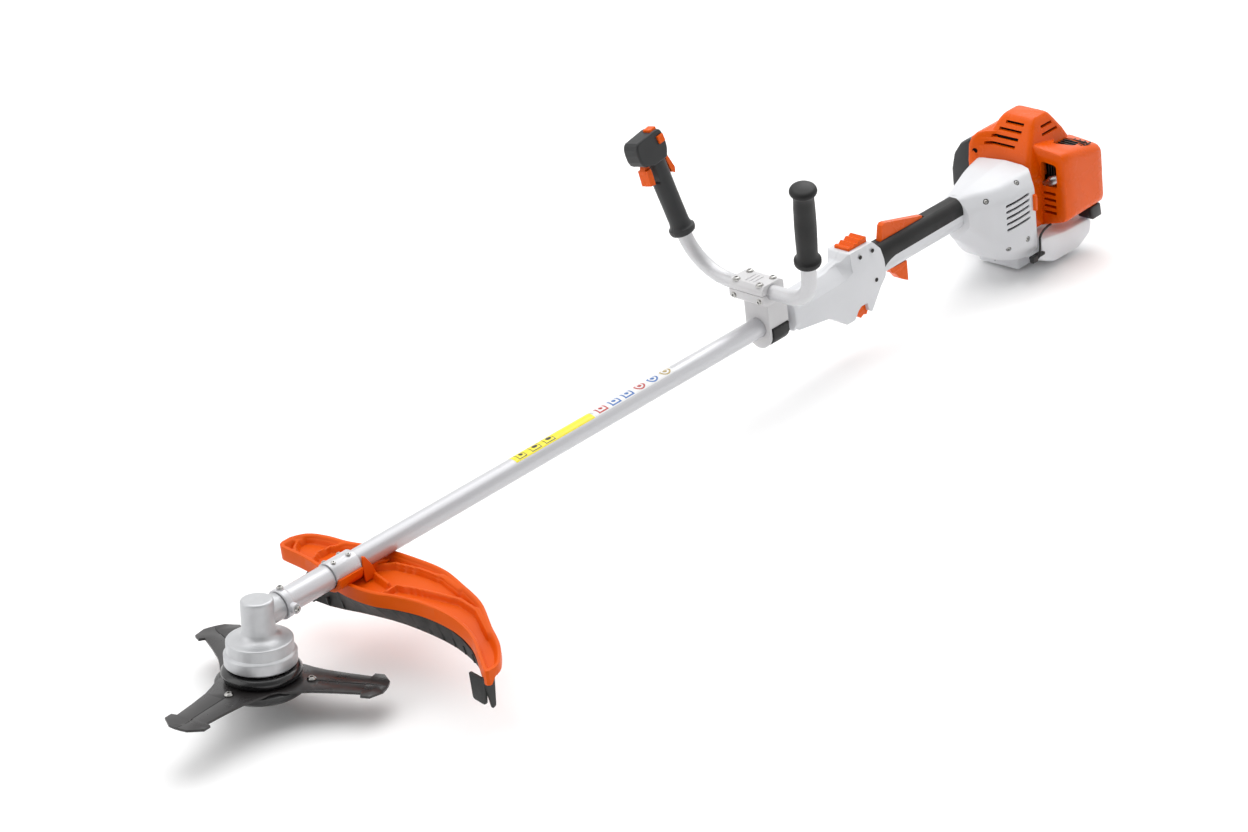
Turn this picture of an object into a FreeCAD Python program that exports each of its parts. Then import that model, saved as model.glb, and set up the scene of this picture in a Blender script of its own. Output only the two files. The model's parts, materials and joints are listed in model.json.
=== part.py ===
"""Brush cutter with a bicycle handlebar: every separate piece as its own solid.

Sizes are millimetres. The model is laid out in the shaft frame: +X runs along the drive tube from the
gear head to the engine, +Z is up, -Y is the operator's left. It is written out in the row frame, which has
the same directions and its origin at the centre of the support foot's flat bottom.
"""
import FreeCAD, Part
import math
import os
from FreeCAD import Placement, Rotation, Vector

# Row frame
FOOT_X = 1430.0
FOOT_BOTTOM = -117.0

# Gear head: the blade spindle crosses the drive shaft at the shaft frame's origin
LEAN_DEG = 7.0
CASE_TOP = 23.8
COLUMN_R = 20.0
CASE_STEP_R = 40.5
CASE_BASE_R = 44.1
CASE_BOTTOM = -59.0
PINION_TEETH = 14
GEAR_TEETH = 19
CONE_LENGTH = 15.0
TOOTH_FACE = 5.0
BEARING_R = 11.9
SPINDLE_R = 5.0

# Cutting tool
BLADE_TOP = -76.0
BLADE_THICK = 3.0
BLADE_TIP_R = 152.0
BLADE_HUB_R = 52.0
BLADE_ARM_DEGS = (191.0, 300.0, 72.0)
BLADE_SCREW_RADIUS = 62.0
CUP_R = 58.0

# Drive tube and what rides on it
TUBE_R = 14.0
TUBE_WALL = 2.0
TUBE_FRONT = 33.5
TUBE_REAR = 1318.0
SLIP = 0.05
SHAFT_R = 4.0
SLEEVE_R = 16.0
SLEEVE_REAR = 110.0
BUSH_PLACES = (220.0, 470.0, 700.0, 1010.0, 1240.0)

# Guard
SHIELD_TOP = -12.0
SHIELD_WALL = 19.0
SHIELD_SKIN = 3.0
SHIELD_FRONT = ((142, 138), (142, 126), (139, 70), (131, 28), (125, -15), (127, -55), (138, -92), (144, -130),
                (142, -175), (132, -222), (108, -262), (86, -296))
SHIELD_REAR = ((160, 138), (183, 122), (194, 95), (199, 62), (211, 20), (217, -30), (217, -90), (204, -138),
               (187, -186), (164, -225), (145, -258), (104, -296))
SKIRT_FRONT = ((121, 78), (128, 50), (136, 10), (144, -21), (153, -74), (154, -136), (149, -180), (137, -221),
               (128, -240))
SKIRT_BOTTOM = -62.0

# Handlebar
MOUNT_FRONT = 894.0
MOUNT_REAR = 938.0
BAR_X = 895.0
BAR_Z = 60.0
BAR_R = 10.5
BAR_CORNER_Y = 99.1
BEND_NEAR = 45.0
BEND_FAR = 72.0
GRIP_LEAN = Vector(-0.181, 0.195, 1.0)
GRIP_START = 68.3
PLAIN_GRIP_RAISE = 5.0
CLAMP_HALF_WIDTH = 29.0
CLAMP_TOP = 73.0
CLAMP_BOLT_X = 13.5
PLAIN_GRIP_LENGTH = 116.0
THROTTLE_GRIP_LENGTH = 108.0
HEAD_HEIGHT = 39.0
HEAD_FAR = -11.5
HEAD_NEAR = 16.0

# Control housing and rear handle
HOUSING_FRONT = 942.0
HOUSING_REAR = 1130.0
HOUSING_HALF = 24.0
HUMP_HALF = 22.5
HUMP_TOP = 42.0
HANDLE_REAR = 1326.0
HANDLE_HALF = 17.5
HANDLE_TOP = 26.0
HANDLE_BOTTOM = -22.5

# Engine
SHROUD_REAR = 1431.0
ENGINE_REAR = 1556.0
COVER_TOP = 90.0
TANK_TOP = -60.0
FAN_R = 34.0
CLUTCH_X = 1345.0
DRUM_R = 24.0
CYLINDER_X = 1480.0

ORIGIN = Vector(0, 0, 0)
X_AXIS = Vector(1, 0, 0)
Y_AXIS = Vector(0, 1, 0)
Z_AXIS = Vector(0, 0, 1)


# Shared shape helpers

def box(x_span, y_span, z_span):
    """A box between three pairs of limits."""
    size = [high - low for low, high in (x_span, y_span, z_span)]
    return Part.makeBox(*size, Vector(x_span[0], y_span[0], z_span[0]))


def soft_box(x_span, y_span, z_span, radius):
    """A box with all its edges rounded."""
    shape = box(x_span, y_span, z_span)
    return shape.makeFillet(radius, shape.Edges)


def rod(start, end, radius):
    """A round bar between two points."""
    line = end - start
    return Part.makeCylinder(radius, line.Length, start, line)


def sleeve(start, end, outer, inner):
    """A round tube between two points."""
    return rod(start, end, outer).cut(rod(start, end, inner))


def x_rod(x_low, x_high, radius, y=0.0, z=0.0):
    """A round bar along X."""
    return rod(Vector(x_low, y, z), Vector(x_high, y, z), radius)


def x_sleeve(x_low, x_high, outer, inner):
    """A round tube around the drive shaft's axis."""
    return sleeve(Vector(x_low, 0, 0), Vector(x_high, 0, 0), outer, inner)


def y_rod(x, z, y_low, y_high, radius):
    """A round bar along Y."""
    return rod(Vector(x, y_low, z), Vector(x, y_high, z), radius)


def face_from(points):
    """A flat face inside a closed run of points."""
    return Part.Face(Part.makePolygon(points + [points[0]]))


def side_prism(outline, y_low, y_high):
    """Extrude an (x, z) outline across Y."""
    points = [Vector(x, y_low, z) for x, z in outline]
    return face_from(points).extrude(Vector(0, y_high - y_low, 0))


def front_prism(outline, x_low, x_high):
    """Extrude a (y, z) outline along X."""
    points = [Vector(x_low, y, z) for y, z in outline]
    return face_from(points).extrude(Vector(x_high - x_low, 0, 0))


def flat_prism(outline, z_low, z_high):
    """Extrude an (x, y) outline upwards."""
    points = [Vector(x, y, z_low) for x, y in outline]
    return face_from(points).extrude(Vector(0, 0, z_high - z_low))


def turned(profile, start=ORIGIN, direction=Z_AXIS):
    """Turn a closed (radius, height) profile about a line."""
    solid = face_from([Vector(r, 0, h) for r, h in profile]).revolve(ORIGIN, Z_AXIS, 360)
    solid.Placement = Placement(start, Rotation(Z_AXIS, direction))
    return solid


def curve(start, end, bulge, steps=5):
    """Points of a smooth quarter turn from start to end, pulled towards the bulge point."""
    points = []
    for step in range(steps + 1):
        t = step / steps
        weights = ((1 - t) ** 2, 2 * t * (1 - t), t ** 2)
        points.append(tuple(weights[0] * a + weights[1] * b + weights[2] * c
                            for a, b, c in zip(start, bulge, end)))
    return points


def section(x, y_span, z_span, corner):
    """A rectangle with round corners across the X axis."""
    (y0, y1), (z0, z1) = y_span, z_span
    diagonal = corner * (1 - math.sqrt(0.5))
    edges = []
    corners = [(y1, z0, -1, 1), (y1, z1, -1, -1), (y0, z1, 1, -1), (y0, z0, 1, 1)]
    for index, (y, z, inward_y, inward_z) in enumerate(corners):
        across = Vector(x, y + inward_y * corner, z)
        along = Vector(x, y, z + inward_z * corner)
        middle = Vector(x, y + inward_y * diagonal, z + inward_z * diagonal)
        first, last = (across, along) if index % 2 == 0 else (along, across)
        edges.append(Part.Arc(first, middle, last).toShape())
        next_y, next_z, step_y, step_z = corners[(index + 1) % 4]
        if index % 2 == 0:
            target = Vector(x, next_y, next_z + step_z * corner)
        else:
            target = Vector(x, next_y + step_y * corner, next_z)
        edges.append(Part.makeLine(last, target))
    return Part.Wire(edges)


def lofted(sections, ruled=False):
    """A solid through a run of cross sections."""
    return Part.makeLoft([section(*entry) for entry in sections], True, ruled)


def group(shapes):
    """Separate solids that share one node."""
    return Part.makeCompound(shapes)


def screw(head_at, outward, head_r, head_h, shank_r, shank_length):
    """A button-head screw with a hexagon socket. head_at is the middle of the face it clamps."""
    out = Vector(outward).normalize()
    head = turned([(0, 0), (head_r, 0), (head_r, head_h * 0.45), (head_r * 0.6, head_h), (0, head_h)],
                  head_at, out)
    shank = rod(head_at - out * shank_length, head_at, shank_r)
    socket_r = head_r * 0.45
    hexagon = [(socket_r * math.cos(math.radians(60 * k)), socket_r * math.sin(math.radians(60 * k)))
               for k in range(6)]
    socket = flat_prism(hexagon, 0, head_h)
    socket.Placement = Placement(head_at + out * head_h * 0.4, Rotation(Z_AXIS, out))
    return head.fuse(shank).cut(socket).removeSplitter()


# Spindle frame: local +Z is the spindle axis, local +X leans down towards the engine

def leaned(shape):
    """Turn a solid from the spindle frame into the shaft frame."""
    shape.rotate(ORIGIN, Y_AXIS, LEAN_DEG)
    return shape


def gear_case():
    """Cast gear head: column with a flared, stepped base, and a neck for the drive tube."""
    outer = turned([(0, CASE_TOP), (16.5, CASE_TOP)]
                   + curve((17.5, CASE_TOP - 0.2), (COLUMN_R, CASE_TOP - 3.0), (19.6, CASE_TOP - 0.5), 3)
                   + [(COLUMN_R + 0.3, -12)]
                   + curve((COLUMN_R + 0.9, -17), (38.0, -26.5), (COLUMN_R + 3, -25.5), 7)
                   + curve((39.2, -26.8), (CASE_STEP_R, -28.5), (CASE_STEP_R, -27.0), 3)
                   + [(CASE_STEP_R, -41), (CASE_STEP_R + 1.2, -42), (CASE_BASE_R - 1.0, -42.8),
                      (CASE_BASE_R, -44), (CASE_BASE_R, -56.5), (CASE_BASE_R - 2.5, CASE_BOTTOM),
                      (0, CASE_BOTTOM)])
    inner = turned([(0, 17.0), (7.6, 17.0), (7.6, 11.0), (15.4, 9.0), (15.4, -24.0), (24.0, -38.0),
                    (24.0, CASE_BOTTOM - 1), (0, CASE_BOTTOM - 1)])
    neck = x_rod(10, 31.5, 17.0)
    neck_bore = x_rod(3, 32, BEARING_R + SLIP)
    return leaned(outer).fuse(neck).cut(leaned(inner)).cut(neck_bore).removeSplitter()


def gear_bearings():
    """Ball bearings of the spindle and the pinion, each as a plain ring."""
    top = leaned(turned([(4.05, 11.6), (7.55, 11.6), (7.55, 16.9), (4.05, 16.9)]))
    bottom = leaned(turned([(SPINDLE_R + SLIP, -52), (23.95, -52), (23.95, -41), (SPINDLE_R + SLIP, -41)]))
    pinion = [x_sleeve(x, x + 5, BEARING_R, SHAFT_R + SLIP) for x in (18.5, 25.0)]
    return group([top, bottom] + pinion)


def cone_angles():
    """Pitch cone angles of the pinion and the gear, from the teeth and the angle between the shafts."""
    between = math.radians(90 + LEAN_DEG)
    pinion = math.atan2(math.sin(between), GEAR_TEETH / PINION_TEETH + math.cos(between))
    return pinion, between - pinion


def toothed_cone(teeth, cone, plane, turn_deg):
    """Straight bevel teeth between a plane and the same outline shrunk towards the cone's apex."""
    tooth_height = 2 * math.sin(cone) / teeth
    tip = cone + 0.6 * tooth_height
    root = cone - 1.15 * tooth_height
    half_pitch = math.pi / (2 * teeth) * 0.78
    slope = math.tan(math.radians(22))
    outline = []
    for tooth in range(teeth):
        middle = 2 * math.pi * tooth / teeth + math.radians(turn_deg)
        for angle, side in ((root, -1), (tip, -1), (tip, 1), (root, 1)):
            half = half_pitch - (angle - cone) * slope / math.sin(cone)
            radius = plane * math.tan(angle)
            direction = middle + side * half
            outline.append(Vector(radius * math.cos(direction), radius * math.sin(direction), plane))
    shrink = (CONE_LENGTH - TOOTH_FACE) / CONE_LENGTH
    wires = [Part.makePolygon(points + [points[0]])
             for points in (outline, [point * shrink for point in outline])]
    return Part.makeLoft(wires, True, True)


def pinion():
    """Bevel pinion on the front end of the drive shaft."""
    cone = cone_angles()[0]
    plane = CONE_LENGTH * math.cos(cone)
    teeth = toothed_cone(PINION_TEETH, cone, plane, 180)
    hub = turned([(0, plane), (7.5, plane), (7.5, 15.5), (5.2, 18.0), (0, 18.0)])
    solid = teeth.fuse(hub)
    solid.rotate(ORIGIN, Y_AXIS, 90)
    return solid


def spindle():
    """Blade spindle with its bevel gear, its bearing seats and a threaded lower end."""
    cone = cone_angles()[1]
    plane = CONE_LENGTH * math.cos(cone) * 0.98
    teeth = toothed_cone(GEAR_TEETH, cone, plane, 180.0 / GEAR_TEETH)
    teeth.rotate(ORIGIN, X_AXIS, 180)
    body = turned([(0, 17.0), (4.0, 17.0), (4.0, 3.0), (SPINDLE_R - 1.5, 3.0), (SPINDLE_R - 1.5, -plane),
                   (11.0, -plane), (13.5, -plane - 2), (13.5, -14), (8.0, -20), (8.0, -40.5),
                   (SPINDLE_R, -40.5), (SPINDLE_R, BLADE_TOP - 22), (SPINDLE_R - 1, BLADE_TOP - 23),
                   (0, BLADE_TOP - 23)])
    return leaned(body.fuse(teeth).removeSplitter())


def thrust_plate():
    """Black cone-edged plate that the blade is clamped against."""
    return leaned(turned([(SPINDLE_R + SLIP, -60.5), (39.0, -60.5), (45.5, -62.5), (48.8, -66.5),
                          (48.8, -69.5), (45.0, BLADE_TOP), (SPINDLE_R + SLIP, BLADE_TOP)]))


def arm_outline(arm_deg):
    """One blade arm, widening at its root and hooked at its blunt tip."""
    half = [(34, 48), (57, 38), (72, 30), (129, 22), (132.5, 30), (141, 29), (BLADE_TIP_R, 21),
            (BLADE_TIP_R + 4, 3)]
    points = half + [(x, -y) for x, y in reversed(half)]
    turn = math.radians(arm_deg)
    return [(x * math.cos(turn) - y * math.sin(turn), x * math.sin(turn) + y * math.cos(turn))
            for x, y in points]


def arm_point(arm_deg, height, radius=BLADE_SCREW_RADIUS):
    """A point on an arm's middle line, in the spindle frame."""
    turn = math.radians(arm_deg)
    return Vector(radius * math.cos(turn), radius * math.sin(turn), height)


def blade():
    """Three-arm brush knife."""
    low = BLADE_TOP - BLADE_THICK
    plate = rod(Vector(0, 0, low), Vector(0, 0, BLADE_TOP), BLADE_HUB_R)
    for arm_deg in BLADE_ARM_DEGS:
        plate = plate.fuse(flat_prism(arm_outline(arm_deg), low, BLADE_TOP))
    cutters = [rod(arm_point(deg, low - 1), arm_point(deg, BLADE_TOP + 1), 3.1) for deg in BLADE_ARM_DEGS]
    cutters.append(rod(Vector(0, 0, low - 1), Vector(0, 0, BLADE_TOP + 1), SPINDLE_R + SLIP))
    return leaned(plate.cut(cutters).removeSplitter())


def blade_cup():
    """Dished black cup under the blade's hub."""
    top = BLADE_TOP - BLADE_THICK
    dish = turned([(SPINDLE_R + SLIP, top)] + [(CUP_R, top), (CUP_R, top - 1.5)]
                  + curve((CUP_R - 1, top - 3), (30, top - 9.5), (CUP_R - 12, top - 9))
                  + [(SPINDLE_R + SLIP, top - 9.5)])
    holes = [rod(arm_point(deg, top - 11), arm_point(deg, top + 1), 3.1) for deg in BLADE_ARM_DEGS]
    return leaned(dish.cut(holes))


def blade_screws():
    """Screws that hold the cup to the blade, one on each arm."""
    return group([leaned(screw(arm_point(deg, BLADE_TOP), Z_AXIS, 5.6, 4.2, 3.0, 6.0))
                  for deg in BLADE_ARM_DEGS])


def blade_nut():
    """Hexagon nut with a wide flange, left-hand thread in use."""
    top = BLADE_TOP - BLADE_THICK - 9.5
    hexagon = [(9.5 * math.cos(math.radians(60 * k)), 9.5 * math.sin(math.radians(60 * k)))
               for k in range(6)]
    nut = flat_prism(hexagon, top - 9.0, top - 2.0)
    flange = rod(Vector(0, 0, top - 2.5), Vector(0, 0, top), 14.0)
    bore = rod(Vector(0, 0, top - 10), Vector(0, 0, top + 1), SPINDLE_R + SLIP)
    return leaned(nut.fuse(flange).cut(bore).removeSplitter())


# Shaft, its sleeve and the guard

def drive_tube():
    """Straight outer tube from the gear head to the clutch housing."""
    return x_sleeve(TUBE_FRONT, TUBE_REAR, TUBE_R, TUBE_R - TUBE_WALL)


def tube_bushes():
    """Sintered bushes that carry the drive shaft inside the tube."""
    return group([x_sleeve(x, x + 18, TUBE_R - TUBE_WALL - SLIP, SHAFT_R + SLIP) for x in BUSH_PLACES])


def drive_shaft():
    """Solid drive shaft with its pinion, reaching back to the clutch drum."""
    return pinion().fuse(x_rod(17.0, CLUTCH_X - 6, SHAFT_R)).removeSplitter()


def neck_sleeve():
    """Clamping sleeve between gear case and tube, with a collar and two index screw bosses."""
    body = turned([(TUBE_R + SLIP, 32.5), (18.6, 32.5), (19.4, 33.5), (19.4, 40.0)]
                  + curve((19.0, 42.0), (SLEEVE_R, 47.0), (SLEEVE_R + 0.4, 44.0), 3)
                  + [(SLEEVE_R, SLEEVE_REAR - 0.5), (TUBE_R + SLIP, SLEEVE_REAR - 0.5)], ORIGIN, X_AXIS)
    boss_side = y_rod(39.0, 0, -26.0, -16.0, 6.5)
    boss_top = rod(Vector(39.0, 0, 16.0), Vector(39.0, 0, 20.5), 5.0)
    cutters = [y_rod(39.0, 0, -27.0, -14.0, 2.6), rod(Vector(39.0, 0, 14.0), Vector(39.0, 0, 21.0), 2.6),
               x_rod(32.0, SLEEVE_REAR, TUBE_R + SLIP)]
    return body.fuse([boss_side, boss_top]).cut(cutters).removeSplitter()


def guard_screw_places():
    """Screw seats on the guard's upper clamp shell: position on the shell and outward direction."""
    places = []
    for x in (119.0, 143.0):
        for angle in (108.0, 40.0):
            turn = math.radians(angle)
            out = Vector(0, math.cos(turn), math.sin(turn))
            places.append((Vector(x, 0, 0) + out * (SLEEVE_R + 1.6), out))
    return places


def neck_screws():
    """Index screws of the sleeve and the screws of the guard's clamp shell."""
    index = [screw(Vector(39.0, -26.0, 0), Vector(0, -1, 0), 4.2, 2.6, 2.5, 11.0),
             screw(Vector(39.0, 0, 20.5), Z_AXIS, 4.2, 2.6, 2.5, 6.0)]
    guard = [screw(place, out, 3.2, 2.2, 1.4, 2.5) for place, out in guard_screw_places()]
    return group(index + guard)


def shield_clamp():
    """Upper half shell that clamps the guard to the tube."""
    shell = x_sleeve(SLEEVE_REAR + 1.0, 151.0, SLEEVE_R + 1.6, TUBE_R + SLIP)
    upper = shell.common(box((100, 160), (-30, 30), (-2.0, 30)))
    holes = [rod(place - out * 3.0, place + out, 1.45) for place, out in guard_screw_places()]
    return upper.cut(holes)


def through(points, y):
    """X of a smooth line through (x, y) points, listed from far to near."""
    low = 0
    while low < len(points) - 2 and y < points[low + 1][1]:
        low += 1
    runs = [points[min(max(low + k, 0), len(points) - 1)] for k in (-1, 0, 1, 2)]
    (x0, y0), (x1, y1), (x2, y2), (x3, y3) = runs
    span = y2 - y1
    slope_1 = (x2 - x0) / (y2 - y0) * span
    slope_2 = (x3 - x1) / (y3 - y1) * span
    t = min(max((y - y1) / span, 0.0), 1.0)
    return ((2 * t ** 3 - 3 * t ** 2 + 1) * x1 + (t ** 3 - 2 * t ** 2 + t) * slope_1
            + (3 * t ** 2 - 2 * t ** 3) * x2 + (t ** 3 - t ** 2) * slope_2)


def smooth(value):
    """Ease from 0 to 1."""
    value = min(max(value, 0.0), 1.0)
    return value * value * (3 - 2 * value)


def shield_height(y):
    """Z of the guard's upper rim, drooping at the near end."""
    return SHIELD_TOP - 26.0 * smooth((-y - 165) / 120)


def shield_section(y):
    """Closed (x, z) outline of the guard across X: front wall, recessed deck and raised rear lip."""
    front, rear, top = through(SHIELD_FRONT, y), through(SHIELD_REAR, y), shield_height(y)
    rim = min(8.0, 0.22 * (rear - front))
    low = top - SHIELD_WALL
    deck = top - 0.9 * rim
    under = deck - SHIELD_SKIN
    return [(front, low), (front - 0.5, top - 2), (front + 1.2, top), (front + rim - 1.5, top),
            (front + rim, deck), (rear - rim - 2.0, deck), (rear - rim, top + 1), (rear - 2.0, top + 1),
            (rear, top - 1.5), (rear, under - 1), (rear - SHIELD_SKIN, under - 1), (rear - rim, under),
            (front + rim, under), (front + SHIELD_SKIN, low)]


def shield_stations():
    """Distances across the guard where its section is set out, from the near end to the far one."""
    near, far = SHIELD_FRONT[-1][1], SHIELD_FRONT[0][1]
    ends = [far - 5.0, far - 12.0]
    return [near + 13.0 * k for k in range(10)] + [-162.0 + 24.0 * k for k in range(12)] + ends[::-1] + [far]


def shield_saddle():
    """Cradle of the guard under the tube, with a web back to the deck and a leaning fin."""
    cradle = x_rod(SLEEVE_REAR + 1.5, 150.5, 21.0).common(box((100, 160), (-30, 30), (-25, -3.0)))
    pad = soft_box((118, 150.5), (-19, 19), (-28, -12), 2.0)
    web = side_prism([(150, -26), (205, -22), (205, -19), (165, -3.0), (150, -3.0)], -10, 10)
    fin = side_prism([(153, -21), (163, -21), (160, 6), (155.5, 22), (152.5, 20)], -22, -16.5)
    return [cradle, pad, web, fin]


def shield():
    """Orange guard: a curved pan with raised rims, carried by a saddle under the tube."""
    wires = []
    for y in shield_stations():
        points = [Vector(x, y, z) for x, z in shield_section(y)]
        wires.append(Part.makePolygon(points + [points[0]]))
    pan = Part.makeLoft(wires, True, True)
    solid = pan.fuse(shield_saddle())
    seat = x_rod(SLEEVE_REAR, 260, TUBE_R + SLIP)
    upper_room = x_rod(SLEEVE_REAR + 0.5, 151.6, SLEEVE_R + 2.0).common(
        box((100, 160), (-30, 30), (-2.5, 30)))
    return solid.cut([seat, upper_room]).removeSplitter()


def skirt():
    """Black ribbed skirt hung under the guard's front wall."""
    far, near = SKIRT_FRONT[0][1], SKIRT_FRONT[-1][1]
    count = 14
    stations = [near + (far - near) * k / count for k in range(count + 1)]
    wires = []
    for y in stations:
        x = through(SKIRT_FRONT, y)
        top = shield_height(y) - SHIELD_WALL - 0.7
        low = SKIRT_BOTTOM + 12.0 * smooth((y - 44) / 34)
        x_top = through(SHIELD_FRONT, y) + 1.0
        points = [Vector(x_top, y, top), Vector(x_top + 3, y, top), Vector(x + 3, y, low), Vector(x, y, low)]
        wires.append(Part.makePolygon(points + [points[0]]))
    wall = Part.makeLoft(wires, True, True)
    ribs = []
    for y in stations[1:-1]:
        x = through(SKIRT_FRONT, y)
        ribs.append(side_prism([(x - 4.0, -48), (x + 1, -48), (x + 1, -60), (x - 2.0, -60)],
                               y - 1.2, y + 1.2))
    return wall.fuse(ribs).removeSplitter()


def skirt_knife():
    """Blade at the near end that trims the cutting line, with the tail flap that carries it."""
    top = shield_height(-262) - SHIELD_WALL - 1.0
    flap = soft_box((110, 113.5), (-268, -240), (top - 26, top), 1.0)
    knife = soft_box((103, 111), (-256, -253), (top - 32, top - 6), 1.0)
    return flap.fuse(knife).removeSplitter()


# Handlebar and its clamp

def mount_outline():
    """(y, z) outline of the mount block: straight sides and a round lobe under the tube."""
    lobe = [(23.0 * math.sin(math.radians(a)), -8.0 - 23.0 * math.cos(math.radians(a)))
            for a in range(80, -81, -16)]
    return [(-21.0, 44.5), (-22.6, 4.0)] + [(-y, z) for y, z in lobe] + [(22.6, 4.0), (21.0, 44.5)]


def damper_block(slack=0.0):
    """The block that fills the mount's near lower corner."""
    return box((903 - slack, 935 + slack), (-25 - slack, -12 + slack), (-31 - slack, -3.0 + slack))


def clamp_bolt_places():
    """(x, y) of the four bolts beside the handlebar."""
    return [(BAR_X + dx, y) for dx in (-CLAMP_BOLT_X, CLAMP_BOLT_X) for y in (-18.0, 18.0)]


def eyelet_place():
    """Middle of the carrying eyelet's hole."""
    return Vector(925.0, 25.7, 26.0)


def handle_mount():
    """Clamp block on the tube, carrying the lower half of the handlebar clamp."""
    block = front_prism(mount_outline(), MOUNT_FRONT, MOUNT_REAR)
    block = block.makeFillet(2.0, [edge for edge in block.Edges if edge.BoundBox.XLength > 40
                                   and edge.BoundBox.ZMax > 40])
    saddle = soft_box((875.5, 914.5), (-CLAMP_HALF_WIDTH, CLAMP_HALF_WIDTH), (44.4, 66), 3.0)
    saddle = saddle.common(box((870, 920), (-40, 40), (44, BAR_Z - 0.25)))
    cutters = [x_rod(890, 940, TUBE_R + SLIP), y_rod(BAR_X, BAR_Z, -40, 40, BAR_R + SLIP),
               damper_block(0.1), y_rod(eyelet_place().x, eyelet_place().z, 12.0, 30.0, 7.0)]
    cutters += [rod(Vector(x, y, 30), Vector(x, y, 61), 2.1) for x, y in clamp_bolt_places()]
    cutters += [rod(place - X_AXIS, place + X_AXIS * 3.1, 1.55) for place in front_screw_places()]
    return block.fuse(saddle).cut(cutters).removeSplitter()


def bar_clamp_cap():
    """Upper half of the handlebar clamp."""
    cap = soft_box((875.5, 914.5), (-CLAMP_HALF_WIDTH, CLAMP_HALF_WIDTH), (54, CLAMP_TOP), 5.0)
    cap = cap.common(box((870, 920), (-40, 40), (BAR_Z + 0.25, 80)))
    cutters = [y_rod(BAR_X, BAR_Z, -40, 40, BAR_R + SLIP)]
    cutters += [rod(Vector(x, y, 50), Vector(x, y, 80), 2.1) for x, y in clamp_bolt_places()]
    cutters += [rod(Vector(x, y, CLAMP_TOP - 2), Vector(x, y, 80), 4.6) for x, y in clamp_bolt_places()]
    return cap.cut(cutters).removeSplitter()


def front_screw_places():
    """Seats of the two screws in the front face of the clamp's lower half."""
    return [Vector(875.5, y, 51.5) for y in (-20.0, 20.0)]


def bar_clamp_bolts():
    """Bolts through both halves of the handlebar clamp, and the two screws in its front face."""
    bolts = [screw(Vector(x, y, CLAMP_TOP - 2), Z_AXIS, 4.2, 4.4, 2.0, 29.0) for x, y in clamp_bolt_places()]
    return group(bolts + [screw(place, -X_AXIS, 4.0, 2.6, 1.5, 3.0) for place in front_screw_places()])


def mount_damper():
    """Black rubber block in the mount's near side."""
    outline = front_prism(mount_outline(), MOUNT_FRONT, MOUNT_REAR)
    wider = outline.fuse(box((903, 935), (-24.5, -15), (-24, -3)))
    return damper_block().common(wider).cut(x_rod(890, 940, TUBE_R + SLIP)).removeSplitter()


def harness_eyelet():
    """Steel lug on the mount's far side, where the harness hook goes."""
    place = eyelet_place()
    plate = side_prism([(908, 10), (937, 10), (937, 40), (908, 40)], place.y - 1.5, place.y + 1.5)
    plate = plate.makeFillet(6.0, [edge for edge in plate.Edges if edge.BoundBox.YLength > 2.5])
    foot = box((909, 915), (21.9, place.y - 1.0), (14, 38))
    hole = y_rod(place.x, place.z, 15.0, 35.0, 5.5)
    return plate.fuse(foot.cut(front_prism(mount_outline(), 900, 938))).cut(hole).removeSplitter()


def grip_direction(side):
    """Unit vector up a grip: side is -1 for the near grip and +1 for the far one."""
    return Vector(GRIP_LEAN.x, side * GRIP_LEAN.y, GRIP_LEAN.z).normalize()


def grip_base(side):
    """Where the grip starts on the handlebar."""
    start = GRIP_START if side > 0 else GRIP_START + PLAIN_GRIP_RAISE
    return Vector(BAR_X, side * BAR_CORNER_Y, BAR_Z) + grip_direction(side) * start


def bar_path(side, bend, tip_length):
    """Half of the handlebar's middle line: straight, one bend, then up through the grip."""
    corner = Vector(BAR_X, side * BAR_CORNER_Y, BAR_Z)
    along = Vector(0, side, 0)
    up = grip_direction(side)
    angle = along.getAngle(up)
    reach = bend * math.tan(angle / 2)
    first, last = corner - along * reach, corner + up * reach
    inward = (up - along).normalize()
    middle = corner + inward * (bend / math.cos(angle / 2) - bend)
    tip = grip_base(side) + up * tip_length
    return [Part.makeLine(Vector(BAR_X, 0, BAR_Z), first), Part.Arc(first, middle, last).toShape(),
            Part.makeLine(last, tip)]


def swept(path, radius):
    """A round bar along a path that starts at the middle of the handlebar."""
    wire = Part.Wire(path)
    start = path[0].Vertexes[0].Point
    ring = Part.Wire(Part.makeCircle(radius, start, path[0].tangentAt(path[0].FirstParameter)))
    return wire.makePipeShell([ring], True, False)


def handlebar():
    """Bent aluminium tube, one piece from grip to grip."""
    halves = []
    for side, bend, length in ((-1, BEND_NEAR, 98.0), (1, BEND_FAR, 98.0)):
        outer = swept(bar_path(side, bend, length), BAR_R)
        halves.append(outer.cut(swept(bar_path(side, bend, length), BAR_R - 2.0)))
    return halves[0].fuse(halves[1]).removeSplitter()


def plain_grip():
    """Black left-hand grip with a rounded collar and a mushroom top."""
    bore = BAR_R + SLIP
    top = PLAIN_GRIP_LENGTH
    profile = [(bore, -8.0), (13.0, -7.5)] + curve((15.5, -6.5), (18.4, 0.0), (18.6, -5.0), 3)
    profile += curve((18.2, 2.5), (14.0, 13.0), (14.2, 5.0), 4)
    profile += [(14.5, 35.0), (14.8, 60.0), (14.4, 88.0), (13.8, top - 14.0)]
    profile += curve((14.2, top - 10.0), (18.0, top - 3.0), (15.6, top - 4.0), 4)
    profile += curve((18.5, top - 1.0), (13.5, top + 5.0), (18.2, top + 3.5), 4)
    profile += [(6.0, top + 6.2), (0, top + 6.6), (0, 100.0), (bore, 100.0)]
    return turned(profile, grip_base(-1), grip_direction(-1))


def throttle_frame():
    """Placement of the right-hand grip: +Z up the grip, +X forwards, +Y towards the drive tube."""
    up = grip_direction(1)
    side = up.cross(Vector(-1, 0, 0)).normalize()
    forward = side.cross(up)
    return Placement(grip_base(1), Rotation(forward, side, up, "ZXY"))


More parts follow.
